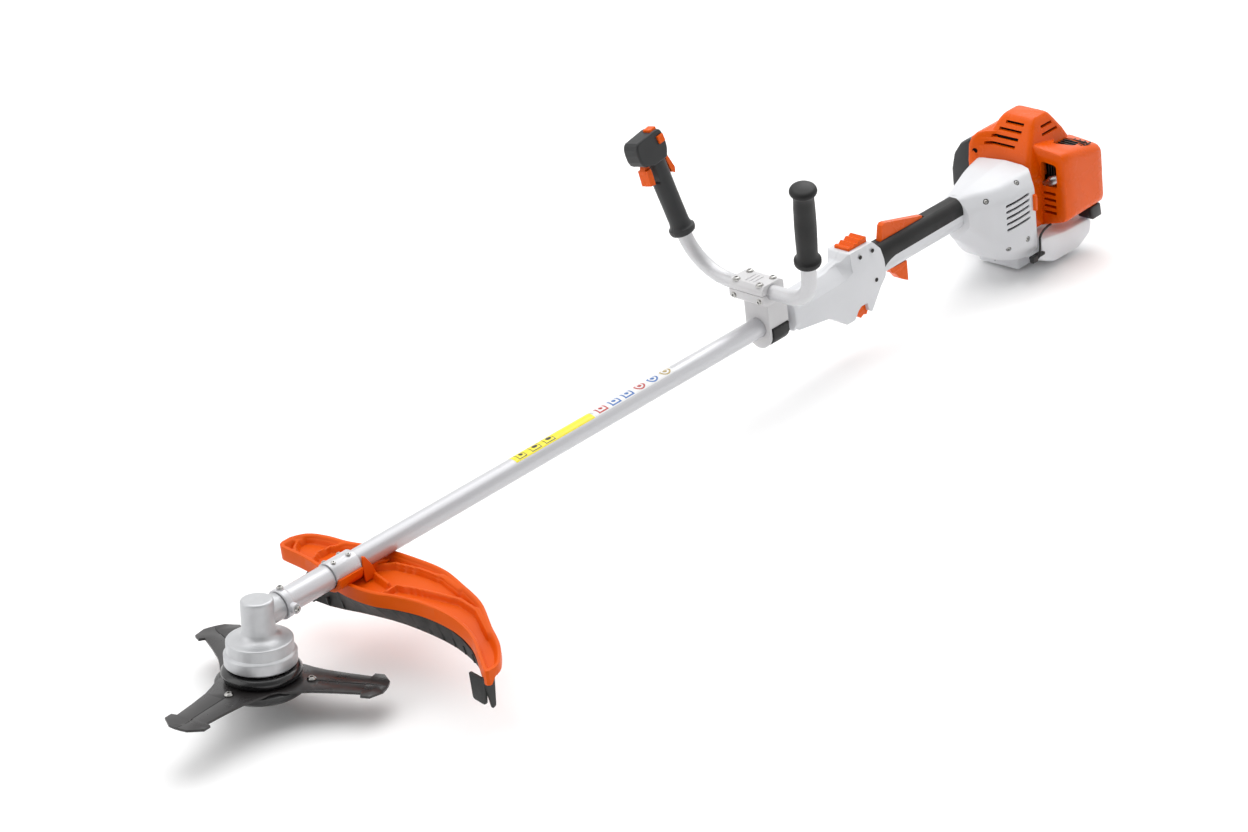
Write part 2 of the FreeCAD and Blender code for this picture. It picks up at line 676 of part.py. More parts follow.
def head_outline():
    """(forward, up) outline of the throttle head seen from the side."""
    neck = THROTTLE_GRIP_LENGTH
    top = neck + HEAD_HEIGHT
    return ([(-12, neck - 3), (12, neck - 3)] + curve((22, neck + 1), (35, neck + 14), (34, neck + 4), 3)
            + curve((35, neck + 24), (27, top), (34, top - 2), 3)
            + curve((-8, top + 0.5), (-19, top - 8), (-18, top), 3)
            + curve((-19.5, top - 22), (-15, neck + 2), (-19, neck + 8), 3))


def throttle_body():
    """Whole right-hand grip before it is split into two shells."""
    bore = BAR_R + SLIP
    neck = THROTTLE_GRIP_LENGTH
    grip = turned([(0, -8.0), (13.0, -7.5)] + curve((15.5, -6.5), (18.4, 0.0), (18.6, -5.0), 3)
                  + curve((18.2, 2.5), (14.0, 13.0), (14.2, 5.0), 4)
                  + [(14.0, 40.0), (14.4, neck - 20), (14.6, neck + 6), (0, neck + 6)])
    head = side_prism(head_outline(), HEAD_FAR, HEAD_NEAR)
    rims = [edge for edge in head.Edges if edge.BoundBox.YLength < 1.0]
    head = head.makeFillet(3.0, rims)
    hollow = rod(Vector(0, 0, -9), Vector(0, 0, 100.0), bore)
    return grip.fuse(head).cut(hollow)


def throttle_pockets():
    """Room for the trigger, the lockout, the slider and the button."""
    neck = THROTTLE_GRIP_LENGTH
    top = neck + HEAD_HEIGHT
    return [box((10.8, 30.0), (-8.8, 8.8), (neck - 31, neck + 14)),
            box((-26.0, -10.8), (-5.2, 5.2), (neck - 40, neck + 18)),
            box((-22.0, -1.0), (-1.2, 13.2), (top - 6.0, top + 6)),
            box((-16.8, -5.2), (12.0, 17.0), (neck + 19.2, neck + 30.8)),
            y_rod(18.0, neck + 6.0, -10.0, 12.0, 2.05),
            y_rod(-14.5, neck + 12.0, -8.0, 8.0, 1.55)]


def throttle_shell(low, high):
    """One half shell of the right-hand grip."""
    half = throttle_body().common(box((-60, 80), (low, high), (-20, 200))).cut(throttle_pockets())
    half.Placement = throttle_frame()
    return half.removeSplitter()


def throttle_shell_inner():
    """Half shell on the shaft's side."""
    return throttle_shell(0, 30)


def throttle_shell_outer():
    """Half shell away from the shaft."""
    return throttle_shell(-30, 0)


def throttle_trigger():
    """Orange finger trigger under the head, on a pin at its upper end."""
    neck = THROTTLE_GRIP_LENGTH
    lever = side_prism([(14.5, neck + 9), (21.0, neck + 9), (22.5, neck + 1), (26.5, neck - 5),
                        (28.5, neck - 26), (19.5, neck - 27), (18.5, neck - 12), (14.5, neck)], -4.9, 4.9)
    pad = side_prism([(17.8, neck - 4.5), (26.0, neck - 4.5), (29.0, neck - 26), (19.8, neck - 28),
                      (17.8, neck - 12)], -8.5, 8.5)
    pin = y_rod(18.0, neck + 6.0, -9.5, 11.5, 2.0)
    solid = lever.fuse([pad, pin]).removeSplitter()
    solid.Placement = throttle_frame()
    return solid


def throttle_lockout():
    """Orange lever behind the grip that must be held before the trigger moves."""
    neck = THROTTLE_GRIP_LENGTH
    lever = side_prism([(-12.2, neck + 15), (-16.8, neck + 15), (-18.5, neck + 6), (-20.5, neck - 4),
                        (-25.5, neck - 27), (-22.5, neck - 34), (-17.5, neck - 30), (-16.0, neck - 4),
                        (-12.2, neck + 9)], -4.9, 4.9)
    pin = y_rod(-14.5, neck + 12.0, -7.5, 7.5, 1.5)
    solid = lever.fuse(pin).removeSplitter()
    solid.Placement = throttle_frame()
    return solid


def stop_slider():
    """Orange stop slider on top of the head."""
    top = THROTTLE_GRIP_LENGTH + HEAD_HEIGHT
    knob = soft_box((-14.0, -2.0), (-1.0, 13.0), (top - 5.0, top + 3.5), 1.2)
    knob.Placement = throttle_frame()
    return knob


def hold_button():
    """Orange square button that holds the throttle setting."""
    neck = THROTTLE_GRIP_LENGTH
    button = soft_box((-16.5, -5.5), (14.2, 19.0), (neck + 19.5, neck + 30.5), 1.0)
    button.Placement = throttle_frame()
    return button


# Control housing and rear handle

def housing_outline():
    """(x, z) side outline of the white control housing."""
    front, rear = HOUSING_FRONT, HOUSING_REAR
    return [(front, -17), (front + 6, -22), (1012, -31), (1024, -38), (1046, -53), (1066, -54),
            (1070, -51), (1073, -44), (1077, -41), (1099, -41), (1100, -50), (1103, -52), (1114, -36),
            (rear - 2, -16), (rear, -8), (rear, 24), (1122, 27), (front + 66, 27), (front + 8, 24),
            (front, 18)]


def hump():
    """Raised upper part of the control housing under the slide switch."""
    low = [(1012, 24), (1040, 31), (1058, HUMP_TOP - 2), (1064, HUMP_TOP), (1112, HUMP_TOP), (1122, 36),
           (HOUSING_REAR, 26)]
    solid = side_prism(low + [(HOUSING_REAR, 20), (1012, 20)], -HUMP_HALF, HUMP_HALF)
    ridges = [edge for edge in solid.Edges if edge.BoundBox.ZMin > 24.5 and edge.BoundBox.YLength < 1]
    return solid.makeFillet(3.0, ridges)


def housing_body():
    """The control housing before it is split: outline, hump, tube bore and inner hollow."""
    body = side_prism(housing_outline(), -HOUSING_HALF, HOUSING_HALF)
    rims = [edge for edge in body.Edges if edge.BoundBox.YLength < 1 and edge.BoundBox.XLength > 15]
    body = body.makeFillet(4.0, rims)
    cutters = [x_rod(930, 1140, TUBE_R + SLIP), box((952, 1064), (-20, 20), (-19, 21)),
               box((1073, 1122), (-20, 20), (-19, 21)), box((1079.5, 1098.5), (-5.2, 5.2), (20, 46)),
               box((1085, 1096), (-8.2, 8.2), (-42, -28)), y_rod(1090.5, -34, -12, 12, 2.05)]
    cutters += screw_room()
    return body.fuse(hump()).cut(cutters).removeSplitter()


def housing_left():
    """Half shell on the operator's left."""
    return housing_body().common(box((900, 1200), (-40, 0), (-90, 90)))


def housing_right():
    """Half shell on the operator's right."""
    return housing_body().common(box((900, 1200), (0, 40), (-90, 90)))


def shell_screw_places():
    """Small screws on the left of the control housing and on the fan shroud: place and direction."""
    left = Vector(0, -1, 0)
    places = [(Vector(1086, -HUMP_HALF, 31), left), (Vector(1112, -HUMP_HALF, 31), left),
              (Vector(1114, -HOUSING_HALF, -14), left)]
    ahead = Vector(-0.55, -0.75, 0.1)
    places.append((Vector(1384, -68.0, 14), ahead))
    places.append((Vector(1345, -47.0, 6), ahead))
    places.append((Vector(1410, -74.2, -58), left))
    return places


def screw_room():
    """Clearance around the small shell screws."""
    room = []
    for place, out in shell_screw_places():
        line = Vector(out).normalize()
        room.append(rod(place - line * 1.25, place + line, 1.55))
        room.append(rod(place, place + line * 4, 3.05))
    return room


def housing_screws():
    """Small screws that hold the half shells of the control housing and the fan shroud."""
    return group([screw(place, out, 3.0, 1.6, 1.5, 1.2) for place, out in shell_screw_places()])


def slide_switch():
    """Orange ribbed slider on top of the control housing."""
    wave = [(1074, HUMP_TOP + 0.3), (1074, 46), (1077, 47.5), (1083, 45), (1088, 49), (1094, 46.5),
            (1099, 50.5), (1105, 48.5), (1109, 51.5), (1112, 50), (1112, HUMP_TOP + 0.3)]
    top = side_prism(wave, -13, 13)
    stem = box((1081, 1090), (-5, 5), (30, HUMP_TOP + 1))
    return top.fuse(stem).removeSplitter()


def front_latch():
    """Small orange lever in the arch under the control housing."""
    neck = box((1087.5, 1093.5), (-7.8, 7.8), (-46, -30.5))
    lever = side_prism([(1079, -44), (1097, -44), (1097, -56), (1094, -60), (1088, -58), (1082, -61),
                        (1079, -58)], -18, 18)
    pin = y_rod(1090.5, -34, -11.5, 11.5, 2.0)
    return neck.fuse([lever, pin]).removeSplitter()


def handle_oval():
    """Oval bar around the tube that the rear handle and its over-grip are cut from."""
    spans = ((-HANDLE_HALF, HANDLE_HALF), (HANDLE_BOTTOM, HANDLE_TOP), HANDLE_HALF - 0.5)
    solid = lofted([(HOUSING_REAR + 0.5,) + spans, (HANDLE_REAR,) + spans], True)
    return solid.cut(x_rod(HOUSING_REAR, HANDLE_REAR + 1, TUBE_R + SLIP))


def grip_region():
    """Region above the line between the over-grip and the white handle."""
    line = curve((HOUSING_REAR, -24), (1166, 1.5), (1138, -2), 5)
    outline = line + [(HANDLE_REAR - 1, 2.5), (HANDLE_REAR - 1, 60), (HOUSING_REAR, 60)]
    return side_prism(outline, -40, 40)


def rear_pockets():
    """Room in the handle for the rear trigger and the rear lockout, with their pin holes."""
    return [box((1160.5, 1206.5), (-6.2, 6.2), (-40, -15.2)), y_rod(1166, -19.0, -10, 10, 2.05),
            box((1148.5, 1246.5), (-5.2, 5.2), (14.9, 60)), y_rod(1239, 20.5, -8, 8, 1.55)]


def rear_handle():
    """White lower part of the rear handle."""
    return handle_oval().cut([grip_region()] + rear_pockets()).removeSplitter()


def rear_grip():
    """Black over-grip on the rear handle."""
    return handle_oval().common(grip_region()).cut(rear_pockets()).removeSplitter()


def rear_trigger():
    """Orange trigger under the rear handle, hooked to hold a finger."""
    lever = side_prism([(1163, -21), (1166, -16.5), (1170, -17.5), (1172, -23.5), (1202, -24.5),
                        (1202, -55), (1194, -51), (1184, -45), (1176, -35), (1168, -30)], -5.8, 5.8)
    return lever.fuse(y_rod(1166, -19.0, -9.5, 9.5, 2.0)).removeSplitter()


def rear_lockout():
    """Orange lockout wedge on top of the rear handle."""
    wedge = side_prism([(1152, 23.5), (1157, 46), (1161, 48.5), (1166, 48), (1243, 28), (1243.5, 22),
                        (1239, 18.3), (1230, 22.3), (1152, 22.3)], -4.7, 4.7)
    return wedge.fuse(y_rod(1239, 20.5, -7.5, 7.5, 1.5)).removeSplitter()


# Engine

def shroud_sections(grow=0.0):
    """Cross sections of the white fan shroud from its neck to the engine; grow moves the skin outwards."""
    stations = [(HANDLE_REAR + 0.2, 24, 30, -44, 27, 22), (1340, 27, 46, -66, 31, 22),
                (1362, 34, 62, -82, 35, 22), (1396, 44, 72, -93, 40, 20), (SHROUD_REAR, 52, 74, -98, 42, 20)]
    return [(x, (-near - grow, far + grow), (low - grow, high + grow), corner + grow)
            for x, far, near, low, high, corner in stations]


def fan_shroud():
    """White shroud around clutch and fan, with slanted air slots on its near side."""
    outer = lofted(shroud_sections())
    hollow = lofted(shroud_sections(-3.0)).common(box((1340, 1440), (-90, 90), (-100, 60)))
    slots = [soft_box((1374, 1418), (-90, -50), (z, z + 4.5), 1.5) for z in (-44, -33, -22, -11, 0)]
    for slot in slots:
        slot.rotate(Vector(1395, -70, -20), Y_AXIS, -14)
    tube_seat = x_rod(1290, 1345, TUBE_R + SLIP)
    return outer.cut([hollow, tube_seat] + slots + screw_room()).removeSplitter()


def support_foot():
    """Flat foot under the shroud that the machine stands on."""
    foot = soft_box((FOOT_X - 19, FOOT_X + 19), (-36, 36), (FOOT_BOTTOM - 4, -90), 3.0)
    foot = foot.common(box((1390, 1470), (-50, 50), (FOOT_BOTTOM, -80)))
    return foot.cut([lofted(shroud_sections(0.05)), box((1400, 1470), (-50, 50), (-98.5, -80)).common(
        box((SHROUD_REAR, 1470), (-50, 50), (-98.5, -80)))]).removeSplitter()


def clutch_drum():
    """Clutch drum on the rear end of the drive shaft."""
    return turned([(SHAFT_R, CLUTCH_X - 18), (7, CLUTCH_X - 18), (7, CLUTCH_X - 4), (DRUM_R, CLUTCH_X - 4),
                   (DRUM_R, CLUTCH_X + 18), (DRUM_R - 2, CLUTCH_X + 18), (DRUM_R - 2, CLUTCH_X - 2),
                   (0, CLUTCH_X - 2), (0, CLUTCH_X - 5.9), (SHAFT_R, CLUTCH_X - 5.9)], ORIGIN, X_AXIS)


def clutch_shoes():
    """Two weighted clutch shoes on their carrier."""
    ring = x_sleeve(CLUTCH_X + 1, CLUTCH_X + 15, DRUM_R - 3, 11.0)
    gap = box((CLUTCH_X, CLUTCH_X + 16), (-30, 30), (-2, 2))
    carrier = x_sleeve(CLUTCH_X + 1, CLUTCH_X + 15, 10.9, 5.0 + SLIP)
    return group(ring.cut(gap).Solids + [carrier])


def flywheel_fan():
    """Flywheel with cooling fan blades, in front of the crankcase."""
    disc = x_sleeve(1402, 1408, FAN_R, 5.0 + SLIP)
    hub = x_sleeve(1400, 1420, 11.0, 5.0 + SLIP)
    blades = []
    for index in range(14):
        fin = box((1390, 1402.5), (14, FAN_R - 0.5), (-1.2, 1.2))
        fin.rotate(ORIGIN, X_AXIS, index * 360.0 / 14)
        blades.append(fin)
    return disc.fuse([hub] + blades).removeSplitter()


def crankshaft():
    """Crankshaft with its counterweight web and crank pin."""
    shaft = x_rod(CLUTCH_X + 1.5, 1540, 5.0)
    web = x_rod(1472, 1477, 15.0).cut(box((1470, 1480), (-20, 20), (6, 20)))
    web_rear = x_rod(1484, 1489, 15.0).cut(box((1480, 1490), (-20, 20), (6, 20)))
    pin = x_rod(1476, 1485, 3.5, 0, -9.0)
    return shaft.fuse([web, web_rear, pin]).removeSplitter()


def crankcase():
    """Cast crankcase around the crank webs."""
    case = soft_box((1436, 1519), (-27, 27), (-34, 17.9), 3.0)
    hollow = x_rod(1466, 1495, 17.0)
    bore = x_rod(1433, 1525, 5.0 + SLIP)
    mouth = rod(Vector(CYLINDER_X, 0, 0), Vector(CYLINDER_X, 0, 20), 16.0)
    return case.cut([hollow, bore, mouth]).removeSplitter()


def cylinder():
    """Finned cylinder with the spark plug seat on its near side."""
    barrel = rod(Vector(CYLINDER_X, 0, 18), Vector(CYLINDER_X, 0, 66), 19.0)
    flange = box((CYLINDER_X - 20, CYLINDER_X + 20), (-20, 20), (18, 22))
    fins = [soft_box((CYLINDER_X - 23, CYLINDER_X + 23), (-25, 25), (z, z + 2.2), 1.0)
            for z in (26, 32, 38, 44, 50, 56, 62)]
    bore = rod(Vector(CYLINDER_X, 0, 17), Vector(CYLINDER_X, 0, 61), 16.0)
    return barrel.fuse([flange] + fins).cut(bore).removeSplitter()


def piston():
    """Piston at the top of its stroke."""
    low = 38.5
    wall = rod(Vector(CYLINDER_X, 0, low), Vector(CYLINDER_X, 0, low + 20), 15.94)
    return wall.cut(rod(Vector(CYLINDER_X, 0, low - 1), Vector(CYLINDER_X, 0, low + 15), 13.0))


def muffler():
    """Pressed steel silencer inside the near cover."""
    return soft_box((1492, 1542), (-78, -40), (-34, 10), 6.0)


def spark_plug():
    """Spark plug seen through the window of the near cover."""
    y = -44.0
    body = turned([(0, 0), (4.5, 0), (4.5, 9), (8, 9), (8, 16), (5, 18), (4, 24), (0, 24)],
                  Vector(1490, y + 17, 26), Vector(-0.2, -0.75, -0.45))
    return body


def plug_boot():
    """Rubber boot and lead above the spark plug."""
    return soft_box((1474.5, 1490), (-62, -40), (28, 46), 4.0).cut(
        turned([(0, -2), (9, -2), (9, 26), (0, 26)], Vector(1490, -27, 26), Vector(-0.2, -0.75, -0.45)))


def carburettor():
    """Carburettor between the cylinder and the air filter."""
    body = soft_box((1462, 1498), (34, 56), (20, 41.5), 2.0)
    intake = rod(Vector(CYLINDER_X, 25.2, 32), Vector(CYLINDER_X, 35, 32), 8.0)
    return body.fuse(intake).removeSplitter()


def top_cover_body(grow):
    """Outer form of the orange top cover: a skirt and a ridge that tapers to a small flat top."""
    skirt_part = side_prism([(1432, 15 - grow), (1432, 44 + grow), (ENGINE_REAR, 44 + grow),
                             (ENGINE_REAR, 15 - grow)], -31 - grow, 60 + grow)
    low = Part.makePolygon([Vector(x, y, 43) for x, y in
                            ((1430 - grow, -47 - grow), (1546 + grow, -47 - grow), (1546 + grow, 52 + grow),
                             (1430 - grow, 52 + grow), (1430 - grow, -47 - grow))])
    high = Part.makePolygon([Vector(x, y, COVER_TOP + grow) for x, y in
                             ((1464 - grow, -20 - grow), (1494 + grow, -20 - grow), (1494 + grow, 20 + grow),
                              (1464 - grow, 20 + grow), (1464 - grow, -20 - grow))])
    return skirt_part, Part.makeLoft([low, high], True, True)


def top_cover():
    """Orange top cover over the cylinder, with air slots in its front and near faces."""
    skirt_part, ridge = top_cover_body(0.0)
    inner_skirt = box((1435, ENGINE_REAR - 3), (-28, 57), (10, 42))
    inner_ridge = top_cover_body(-3.0)[1].fuse(box((1436, 1540), (-40, 46), (40, 47)))
    shape = skirt_part.fuse(ridge).cut(inner_skirt.fuse(inner_ridge))
    slots = [box((1425, 1470), (-half, half), (z, z + 4.0))
             for z, half in ((50, 24), (59, 21), (68, 18), (77, 15))]
    slots += [box((1472, 1494), (-48, -10), (z, z + 4.0)) for z in (62, 72)]
    plug_window = [box((1468, 1502), (-36, -25), (8, 47.5)), box((1472, 1492.5), (-64, -36), (26, 48.5))]
    return shape.cut(slots + plug_window).removeSplitter()


def muffler_cover():
    """Orange box cover on the near side, with a window and slots in its front face."""
    outer = soft_box((1471, 1553), (-86, -20), (-58, 52), 9.0)
    outer = outer.common(box((1460, 1560), (-90, -31.2), (-70, 60)))
    wedge = side_prism([(1500, -60), (1560, -36), (1560, -60)], -90, 0)
    hollow = box((1474, 1550), (-83, -31), (-55, 49)).cut(
        side_prism([(1500, -57), (1560, -33), (1560, -60), (1500, -60)], -90, 0))
    window = box((1468, 1476), (-71, -46), (-6, 38))
    slots = [box((1468, 1476), (-70, -50), (z, z + 5)) for z in (-18, -29, -40)]
    opening = box((1478, 1508), (-72, -48), (46, 60))
    clear = top_cover_body(0.2)[1]
    return outer.cut([wedge, hollow, window, opening, clear] + slots).removeSplitter()


def filter_cover():
    """Black air filter cover on the far side."""
    outer = soft_box((1440, 1544), (50, 100), (-56, 40), 9.0).common(
        box((1430, 1550), (60.4, 110), (-70, 50)))
    return outer.cut(box((1444, 1540), (60, 96), (-52, 36)))


def starter_housing():
    """Round recoil starter housing at the rear."""
    drum = x_sleeve(1521, 1548, 27.5, 24.5)
    cap = x_rod(1548, 1552, 27.5)
    rope_hole = rod(Vector(1546, 20, 0), Vector(1546, 40, 0), 2.5)
    return drum.fuse(cap).cut(rope_hole).removeSplitter()


def starter_grip():
    """Pull grip of the recoil starter, with the start of its rope."""
    handle = soft_box((1542, 1550), (30.6, 42.0), (-14, 14), 3.0)
    rope = rod(Vector(1546, 24, 0), Vector(1546, 32, 0), 1.6)
    return handle.fuse(rope).removeSplitter()


def fuel_tank():
    """Milky fuel tank under the engine."""
    tank = soft_box((1450, ENGINE_REAR), (-70, 70), (-116.5, TANK_TOP), 14.0)
    neck = rod(Vector(1536, 66, -84), Vector(1536, 76, -84), 12.0)
    return tank.fuse(neck).removeSplitter()


def fuel_cap():
    """Screw cap of the fuel tank, on its far side."""
    cap = rod(Vector(1536, 76.1, -84), Vector(1536, 88, -84), 16.0)
    cap = cap.makeFillet(1.5, cap.Edges)
    grips = [box((1523, 1549), (85, 91), (-85.5, -82.5))]
    return cap.fuse(grips).removeSplitter()


def fuel_line():
    """Black fuel hose down the tank's front corner, ending in a clip."""
    corners = [Vector(1449, -72.5, -106), Vector(1449, -74.5, -72), Vector(1462, -76, -63)]
    path = Part.Wire([Part.makeLine(corners[0], corners[1]), Part.makeLine(corners[1], corners[2])])
    ring = Part.Wire(Part.makeCircle(1.7, corners[0], corners[1] - corners[0]))
    hose = path.makePipeShell([ring], True, False, 1)
    clip = soft_box((1440, 1452), (-78, -70.3), (-112, -103), 1.5)
    return hose.fuse(clip).removeSplitter()


NODES = (gear_case, gear_bearings, spindle, thrust_plate, blade, blade_cup, blade_screws,
         blade_nut, drive_tube, tube_bushes, drive_shaft, neck_sleeve, neck_screws, shield_clamp, shield,
         skirt, skirt_knife, handle_mount, bar_clamp_cap, bar_clamp_bolts, mount_damper, harness_eyelet,
         handlebar, plain_grip, throttle_shell_inner, throttle_shell_outer, throttle_trigger,
         throttle_lockout, stop_slider, hold_button, housing_left, housing_right, housing_screws,
         slide_switch, front_latch, rear_handle, rear_grip, rear_trigger, rear_lockout, fan_shroud,
         support_foot, clutch_drum, clutch_shoes, flywheel_fan, crankshaft, crankcase, cylinder, piston,
         muffler, spark_plug, plug_boot, carburettor, top_cover, muffler_cover, filter_cover,
         starter_housing, starter_grip, fuel_tank, fuel_cap, fuel_line)


def main():
    """Write one STEP file per node, in the row frame."""
    os.makedirs("parts", exist_ok=True)
    for make in NODES:
        shape = make()
        shape.translate(Vector(-FOOT_X, 0, -FOOT_BOTTOM))
        shape.exportStep("parts/" + make.__name__ + ".step")
        print(make.__name__, len(shape.Solids), round(shape.Volume), shape.isValid())


main()
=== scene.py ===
import json
import math

import bmesh
import bpy
from mathutils import Matrix, Vector


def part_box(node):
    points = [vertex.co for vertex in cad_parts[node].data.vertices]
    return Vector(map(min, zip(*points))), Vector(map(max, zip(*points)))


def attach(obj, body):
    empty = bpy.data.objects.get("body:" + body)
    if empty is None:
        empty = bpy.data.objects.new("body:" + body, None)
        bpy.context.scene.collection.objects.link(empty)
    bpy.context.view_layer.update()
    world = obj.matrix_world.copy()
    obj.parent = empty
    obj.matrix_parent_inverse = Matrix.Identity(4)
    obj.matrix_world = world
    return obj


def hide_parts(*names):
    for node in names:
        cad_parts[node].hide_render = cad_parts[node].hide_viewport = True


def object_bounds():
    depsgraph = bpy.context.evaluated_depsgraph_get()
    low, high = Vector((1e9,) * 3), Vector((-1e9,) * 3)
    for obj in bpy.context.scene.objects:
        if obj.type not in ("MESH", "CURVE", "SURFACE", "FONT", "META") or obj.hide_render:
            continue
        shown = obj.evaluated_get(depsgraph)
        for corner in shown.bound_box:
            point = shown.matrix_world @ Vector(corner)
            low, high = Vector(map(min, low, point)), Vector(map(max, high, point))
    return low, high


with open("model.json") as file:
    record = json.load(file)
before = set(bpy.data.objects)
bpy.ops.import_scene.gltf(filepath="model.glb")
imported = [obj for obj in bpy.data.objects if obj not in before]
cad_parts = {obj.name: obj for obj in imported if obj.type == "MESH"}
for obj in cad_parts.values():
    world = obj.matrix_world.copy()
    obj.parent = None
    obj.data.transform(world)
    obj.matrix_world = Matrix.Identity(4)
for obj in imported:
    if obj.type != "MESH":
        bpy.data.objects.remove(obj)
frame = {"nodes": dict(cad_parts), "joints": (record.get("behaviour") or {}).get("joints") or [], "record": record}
cad_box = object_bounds()

MM = 0.001
TUBE_R = 14.0
JOINTS = {joint["name"]: joint for joint in frame["joints"]}
HEAD = Vector(JOINTS["blade_spin"]["pos_m"])
SPINDLE = Vector(JOINTS["blade_spin"]["axis"]).normalized()
LEANED = Matrix((Vector((SPINDLE.z, 0, -SPINDLE.x)), Vector((0, 1, 0)), SPINDLE)).transposed()


def at(x, y, z):
    """A point of the shaft frame, given in millimetres, as a row-frame place in metres."""
    return HEAD + Vector((x, y, z)) * MM


# Materials

def linear(red, green, blue):
    """Turn display colour values of 0 to 255 into the renderer's linear colour."""
    def one(value):
        value /= 255
        return value / 12.92 if value <= 0.04045 else ((value + 0.055) / 1.055) ** 2.4
    return (one(red), one(green), one(blue), 1.0)


def tinted(colour, factor):
    """The same colour made darker or lighter."""
    return tuple(min(1, value * factor) for value in colour[:3]) + (1,)


class Nodes:
    """A material's node tree with short ways to add and join nodes."""

    def __init__(self, name):
        self.material = bpy.data.materials.new(name)
        self.material.use_nodes = True
        self.tree = self.material.node_tree
        self.shader = self.tree.nodes["Principled BSDF"]
        self.place = self.tree.nodes.new("ShaderNodeTexCoord").outputs["Object"]

    def add(self, kind, settings=(), **inputs):
        node = self.tree.nodes.new("ShaderNode" + kind)
        for key, value in settings:
            setattr(node, key, value)
        for key, value in inputs.items():
            self.feed(value, node.inputs[key.replace("_", " ")])
        return node

    def feed(self, value, socket):
        if isinstance(value, bpy.types.NodeSocket):
            self.tree.links.new(value, socket)
        else:
            socket.default_value = value

    def noise(self, scale, detail=3.0, stretch=(1, 1, 1)):
        mapped = self.add("Mapping", Vector=self.place, Scale=stretch).outputs[0]
        return self.add("TexNoise", Vector=mapped, Scale=scale, Detail=detail).outputs["Fac"]

    def mix(self, factor, first, second):
        node = self.add("Mix", [("data_type", "RGBA")])
        self.feed(factor, node.inputs[0])
        self.feed(first, node.inputs[6])
        self.feed(second, node.inputs[7])
        return node.outputs[2]

    def span(self, value, low, high, start=0.3, end=0.7):
        return self.add("MapRange", Value=value, From_Min=start, From_Max=end,
                        To_Min=low, To_Max=high).outputs[0]

    def bumps(self, layers):
        """Stack (height, strength, distance in metres) bump layers onto the surface."""
        normal = None
        for height, strength, distance in layers:
            node = self.add("Bump", Height=height, Strength=strength, Distance=distance)
            if normal is not None:
                self.feed(normal, node.inputs["Normal"])
            normal = node.outputs[0]
        self.feed(normal, self.shader.inputs["Normal"])

    def surface(self, **inputs):
        for key, value in inputs.items():
            self.feed(value, self.shader.inputs[key.replace("_", " ")])
        return self.material

    def edge_wear(self, radius=0.0012):
        """Near 1 along convex edges, near 0 on flat faces."""
        bevel = self.add("Bevel", [("samples", 4)], Radius=radius).outputs[0]
        true = self.add("NewGeometry").outputs["Normal"]
        aligned = self.add("VectorMath", [("operation", "DOT_PRODUCT")])
        self.feed(bevel, aligned.inputs[0])
        self.feed(true, aligned.inputs[1])
        return self.span(aligned.outputs["Value"], 1.0, 0.0, 0.80, 0.99)


def moulded(name, colour, rough=0.35, grain=0.35, shade=0.06, coat=0.0, worn=0.25, shine=0.4):
    """Moulded plastic: fine grain, slow colour drift and slightly rubbed edges."""
    n = Nodes(name)
    drift = n.noise(9.0, 4.0)
    base = n.mix(n.span(drift, 0, 1), tinted(colour, 1 - shade * 2), tinted(colour, 1 + shade))
    pale = tuple(c * 0.75 + 0.25 * max(colour[:3]) for c in colour[:3]) + (1,)
    edges = n.edge_wear()
    base = n.mix(n.span(edges, 0.0, worn, 0.2, 1.0), base, pale)
    smudge = n.noise(40.0, 5.0)
    n.bumps([(n.noise(1900.0, 2.0), grain, 0.00012), (n.noise(160.0, 2.0), 0.08, 0.0002)])
    return n.surface(Base_Color=base, Roughness=n.span(smudge, rough - 0.06, rough + 0.08),
                     Coat_Weight=coat, Coat_Roughness=0.12, Specular_IOR_Level=shine)


def rubber(name, colour, rough=0.62):
    """Soft-touch rubber with a fine pebbled grain."""
    n = Nodes(name)
    cells = n.add("TexVoronoi", Vector=n.place, Scale=1300.0).outputs["Distance"]
    worn = n.noise(25.0, 5.0)
    base = n.mix(n.span(worn, 0, 0.6), colour, tinted(colour, 1.7))
    n.bumps([(cells, 0.35, 0.00015), (n.noise(300.0, 3.0), 0.12, 0.0003)])
    return n.surface(Base_Color=base, Roughness=n.span(worn, rough + 0.08, rough - 0.08),
                     Specular_IOR_Level=0.4)


def cast_metal(name, colour, rough=0.42, pits=0.5):
    """Sand-textured cast aluminium under a thin satin lacquer."""
    n = Nodes(name)
    mottled = n.noise(90.0, 5.0)
    n.bumps([(n.noise(900.0, 4.0), pits, 0.00018), (n.noise(120.0, 3.0), 0.04, 0.0003)])
    return n.surface(Base_Color=n.mix(n.span(mottled, 0, 1), tinted(colour, 0.93), colour), Metallic=0.65,
                     Roughness=n.span(mottled, rough + 0.03, rough - 0.02), Coat_Weight=0.15,
                     Coat_Roughness=0.3)


def painted_tube(name, colour, rough=0.3):
    """Silver paint on drawn tube, with a fine lengthwise draw and metal flake."""
    n = Nodes(name)
    flake = n.add("TexVoronoi", Vector=n.place, Scale=2600.0).outputs["Color"]
    level = n.add("SeparateColor", Color=flake).outputs[0]
    drawn = n.noise(220.0, 3.0, (0.03, 1, 1))
    n.bumps([(level, 0.05, 0.00005), (drawn, 0.07, 0.0001)])
    return n.surface(Base_Color=n.mix(n.span(level, 0, 1, 0, 1), colour, tinted(colour, 1.10)), Metallic=0.35,
                     Roughness=n.span(drawn, rough - 0.04, rough + 0.06), Coat_Weight=0.35,
                     Coat_Roughness=0.18)


